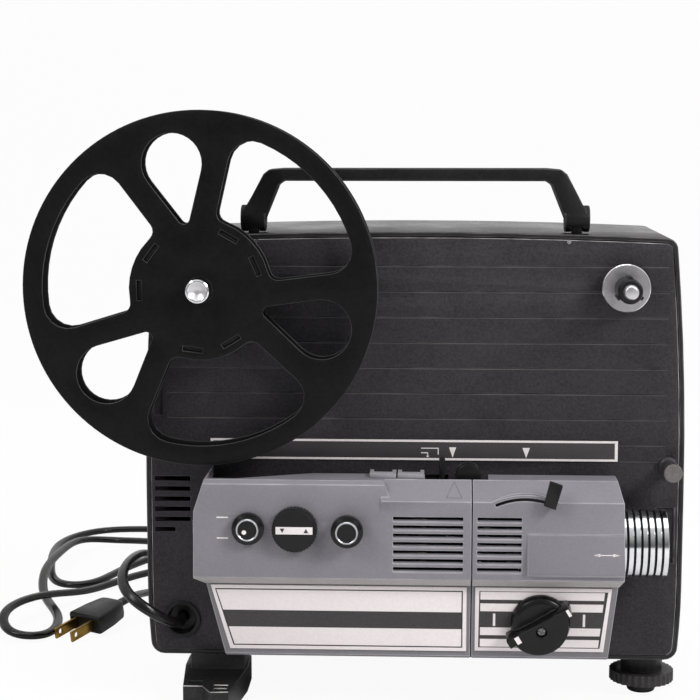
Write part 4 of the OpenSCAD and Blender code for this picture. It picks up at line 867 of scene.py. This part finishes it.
def grip_face(x, z, rise):
    """A place on the raised half of the control knob, x along its flat wall."""
    across = x * math.cos(GRIP_TURN) - z * math.sin(GRIP_TURN)
    upward = x * math.sin(GRIP_TURN) + z * math.cos(GRIP_TURN)
    return at(*(KNOB_MIDDLE + Vector((across, 0, 0)) + APRON_UP * upward + APRON_OUT * (GRIP_FACE + rise)))


printed("knob_pointers", [bar(-13.4, 0.2, -11.0, 4.1), bar(15.9, 0.2, 17.4, 4.1)], grip_face,
        strip_white, body="dial")
speed_dish = case_box("speed_knob")[0].y + RING_SUNK
printed("speed_dot", [disc(55.7, 98.8, 1.15)], upright(speed_dish), strip_white, body="speed")
printed("framing_marks", [pointer(73.5, 75.9, 101.1, 98.9), pointer(85.3, 87.7, 98.9, 101.1)],
        upright(framer_front), plate_ink, body="framer")

# The handle: one black moulding with forked eyes that turn on steel pins in two lugs of the case. Two more
# pins, pressed into the panel's upper rim, hold the lid.
PIN_Z = 240.2
PIN_RADIUS = 1.1
handle_black = moulded(
    "handle_black", (16, 15, 16), (25, 24, 25), grain=1.3, relief=0.4, rough=0.5, gloss=0.15)
# pale eased edges of the handle: partly wear, partly a painted highlight
handle_edge_wear_and_highlight = edge_wear_and_highlight("handle_worn_edge", (28, 27, 28), (64, 62, 62))
eased("handle", "carrying_handle", 0.65, "case_plastic", handle_black, handle_edge_wear_and_highlight)
eased("handle_brackets", "handle_lugs", 0.3, "case_plastic", handle_black)
eased("handle_pins", "handle_pivots", 0.2, "steel", turned_steel)
printed("lid_pins", [disc(x, PIN_Z, PIN_RADIUS) for x in (58.9, 217.3)], upright(0), turned_steel,
        rise=0.25)

# The feet: a stepped black block that reaches out at the left, a knurled wheel on a screw at the right, and
# two rubber feet behind. All are fixed under the tub.
foot_black = moulded("foot_black", (28, 28, 28), (42, 41, 42), relief=0.3, rough=0.34, gloss=0.25)
# pale forward-facing edges of the left foot: a painted highlight
foot_edge_highlight = edge_wear_and_highlight("foot_polished_edge", (90, 88, 88), (214, 210, 208))
wheel_black = moulded("wheel_black", (44, 42, 43), (60, 58, 59), grain=0.8, relief=0.3, rough=0.4)
foot_rubber = moulded("foot_rubber", (20, 20, 20), (30, 30, 30), grain=0.7, relief=0.4, rough=0.7)
FOOT_AHEAD = -20


def foot_look(centre, normal, look):
    """Only the eased edges that face forward and up, toward the lamps, get the painted highlight."""
    wear_and_highlight_mask = centre.y < FOOT_AHEAD and normal.y < -0.3 and normal.z > 0.3
    return look if wear_and_highlight_mask else foot_black


eased("outrigger_foot", "left_foot", 0.4, "black_plastic", foot_black, foot_edge_highlight, where=foot_look)
eased("levelling_wheel", "foot_wheel", 0.25, "black_plastic", wheel_black)
eased("levelling_screw", "foot_screw_pad", 0.4, "black_plastic", wheel_black)
eased("rear_feet", "rear_foot_pair", 0.4, "rubber", foot_rubber)

# The works inside: a steel plate with sintered bushes carries the shafts, belts and motor; lamp, socket and
# gate stand on the panel. They show through the slots and when the covers are off.
zinc_steel = metal("zinc_steel", (150, 152, 155), (176, 178, 181), rough=0.36, grain=1.2)
sintered_bronze = metal("sintered_bronze", (140, 108, 62), (168, 132, 80), rough=0.42, grain=0.5)
spun_alloy = metal("spun_alloy", (132, 135, 138), (160, 162, 165), rough=0.34)
belt_rubber = moulded("belt_rubber", (22, 22, 22), (34, 34, 34), grain=0.6, relief=0.4, rough=0.75)
motor_paint = moulded("motor_paint", (92, 95, 98), (112, 115, 118), grain=1.2, relief=0.5, rough=0.48)
fan_plastic = moulded("fan_plastic", (52, 55, 58), (68, 71, 74), grain=1.0, relief=0.2, rough=0.5)
lamp_ceramic = moulded("lamp_ceramic", (206, 200, 184), (222, 217, 204), grain=1.0, relief=0.3, rough=0.6)
switch_resin = moulded("switch_resin", (80, 50, 32), (100, 66, 44), grain=0.8, relief=0.2, rough=0.35)
shutter_black = moulded("shutter_black", (34, 36, 38), (46, 48, 50), grain=0.8, relief=0.2, rough=0.6)
lamp_glass = tinted_glass("lamp_glass", 0.6, 0.08, 1.47, 6, (214, 210, 196), (232, 229, 220))
INSIDE = {
    "case_screws": turned_steel, "mechanism_plate": zinc_steel, "shaft_bushes": sintered_bronze,
    "bearing_bridge": zinc_steel, "drive_motor": motor_paint, "motor_shaft": turned_steel,
    "cooling_fan": fan_plastic, "drive_belt": belt_rubber, "sprocket_belt": belt_rubber,
    "reel_belts": belt_rubber, "main_shaft": turned_steel, "flywheel": spun_alloy,
    "drum_shutter": shutter_black, "projection_lamp": lamp_glass, "lamp_socket": lamp_ceramic,
    "gate_plate": bright_chrome, "pressure_plate": zinc_steel, "lens_holder": motor_paint,
    "control_bushes": turned_steel, "rotary_switch": switch_resin,
}
for node, look in INSIDE.items():
    solid = frame["nodes"][node].data
    solid.materials.clear()
    solid.materials.append(look.material)

# The mains lead: a flat twin flex of dark rubber that leaves a recessed bush, arches round the case's side
# and lies in loose loops behind it. Its plug is moulded on and has two brass blades.
LEAD_WIDTH = 5.8
# heights of the lead's middle: on the floor, pulled over a strand that it crosses, and along another's top
low = LEAD_WIDTH / 2
over = low + 1.5 * (LEAD_WIDTH + 0.6)
up = low + LEAD_WIDTH + 0.8
LEAD_ROUTE = [Vector(p) for p in (
    (18, 7, 41.5), (18, -13, 42), (11, -31, 51), (-7, -30, 62), (-14, -4, 68), (-11, 34, 69), (-8, 78, 58),
    (-4, 116, 32), (8, 152, 6), (30, 196, low), (56, 250, low), (60, 316, low), (16, 366, low),
    (-40, 374, low), (-96, 376, low), (-118, 332, low), (-112, 284, low), (-104, 240, low), (-92, 210, low),
    (-68, 214, low), (-60, 252, low), (-38, 300, low), (0, 340, low), (38, 318, low), (14, 280, low),
    (-30, 298, over), (-74, 336, low), (-100, 318, up), (-103, 274, up + 1), (-106, 228, up),
    (-97, 184, low), (-80, 150, low), (-73, 122, low), (-74, 95, low), (-98, 89, low + 2),
    (-109, 120, over), (-90, 158, over), (-70, 192, low), (-52, 234, low), (-22, 266, low), (14, 260, low),
    (8, 216, low), (-30, 190, low + 2), (-32, 146.4, 14.6), (-40.6, 133, 11.8))]
LEAD_STEPS = 8


def lead_point(start, t):
    """A point of the smooth line that the route's points pull into shape, from one of them to the next."""
    b, c = LEAD_ROUTE[start:start + 2]
    a = LEAD_ROUTE[start - 1] if start else 2 * b - c
    d = LEAD_ROUTE[start + 2] if start + 2 < len(LEAD_ROUTE) else 2 * c - b
    pull_b = 3 * t ** 3 - 6 * t ** 2 + 4
    pull_c = -3 * t ** 3 + 3 * t ** 2 + 3 * t + 1
    return ((1 - t) ** 3 * a + pull_b * b + pull_c * c + t ** 3 * d) / 6


lead_line = [
    at(*lead_point(i, k / LEAD_STEPS)) for i in range(len(LEAD_ROUTE) - 1) for k in range(LEAD_STEPS)]
lead_line.append(at(*LEAD_ROUTE[-1]))

# The lead's section: two round lobes that meet in a waist. The flat flex stands nearly on edge where it
# leaves the bush, and rolls over until it lies flat.
LOBE = 2.05
LOBE_OFF = LEAD_WIDTH / 2 - LOBE
WAIST = 0.35
LOBE_STEPS = 8
LEAD_ROLL = math.radians(65)
# points of the line after which it lies flat, and over which it rolls
ROLL_END = 44
ROLL_STEPS = 24
lobe_half = math.pi - math.acos(WAIST * LOBE_OFF / LOBE)
lead_section = []
for side, turn in ((1, 0), (-1, math.pi)):
    for k in range(LOBE_STEPS + 1):
        angle = turn - lobe_half + 2 * lobe_half * k / LOBE_STEPS
        lead_section.append((side * LOBE_OFF + LOBE * math.cos(angle), LOBE * math.sin(angle)))
lead_shell = bmesh.new()
lead_rings = []
for i, centre in enumerate(lead_line):
    ahead = (lead_line[min(i + 1, len(lead_line) - 1)] - lead_line[max(i - 1, 0)]).normalized()
    level = ahead.cross(Vector((0, 0, 1))).normalized()
    above = level.cross(ahead)
    roll = LEAD_ROLL * max(0, min(1, (ROLL_END - i) / ROLL_STEPS))
    wide = level * math.cos(roll) + above * math.sin(roll)
    tall = above * math.cos(roll) - level * math.sin(roll)
    lead_rings.append([lead_shell.verts.new(centre + (wide * w + tall * t) / METRE) for w, t in lead_section])
for first, second in zip(lead_rings, lead_rings[1:]):
    banded(lead_shell, first, second)
for end in (lead_rings[0], lead_rings[-1]):
    lead_shell.faces.new(end)
bmesh.ops.recalc_face_normals(lead_shell, faces=lead_shell.faces)
lead_mesh = mesh_of(lead_shell, "mains_lead")
lead_mesh.shade_smooth()
lead_rubber = moulded("lead_rubber", (13, 12, 12), (22, 20, 20), grain=0.8, relief=0.1, rough=0.24, gloss=0.3)
plug_rubber = moulded("plug_rubber", (13, 12, 12), (22, 21, 21), relief=0.2, rough=0.3, gloss=0.3)
bush_black = moulded("bush_black", (18, 18, 19), (28, 28, 29), relief=0.2, rough=0.36)
old_brass = metal("old_brass", (132, 104, 46), (172, 140, 72), rough=0.3, grain=0.8)
lead_mesh.materials.append(lead_rubber.material)
eased("cord_grommet", "lead_bush", 0.3, "rubber", bush_black)
plug = eased("plug_body", "mains_plug", 1.2, "rubber", plug_rubber)
blades = eased("plug_blades", "plug_brass", 0.2, "brass", old_brass)
lead = instead("power_cord", "mains_lead", lead_mesh)
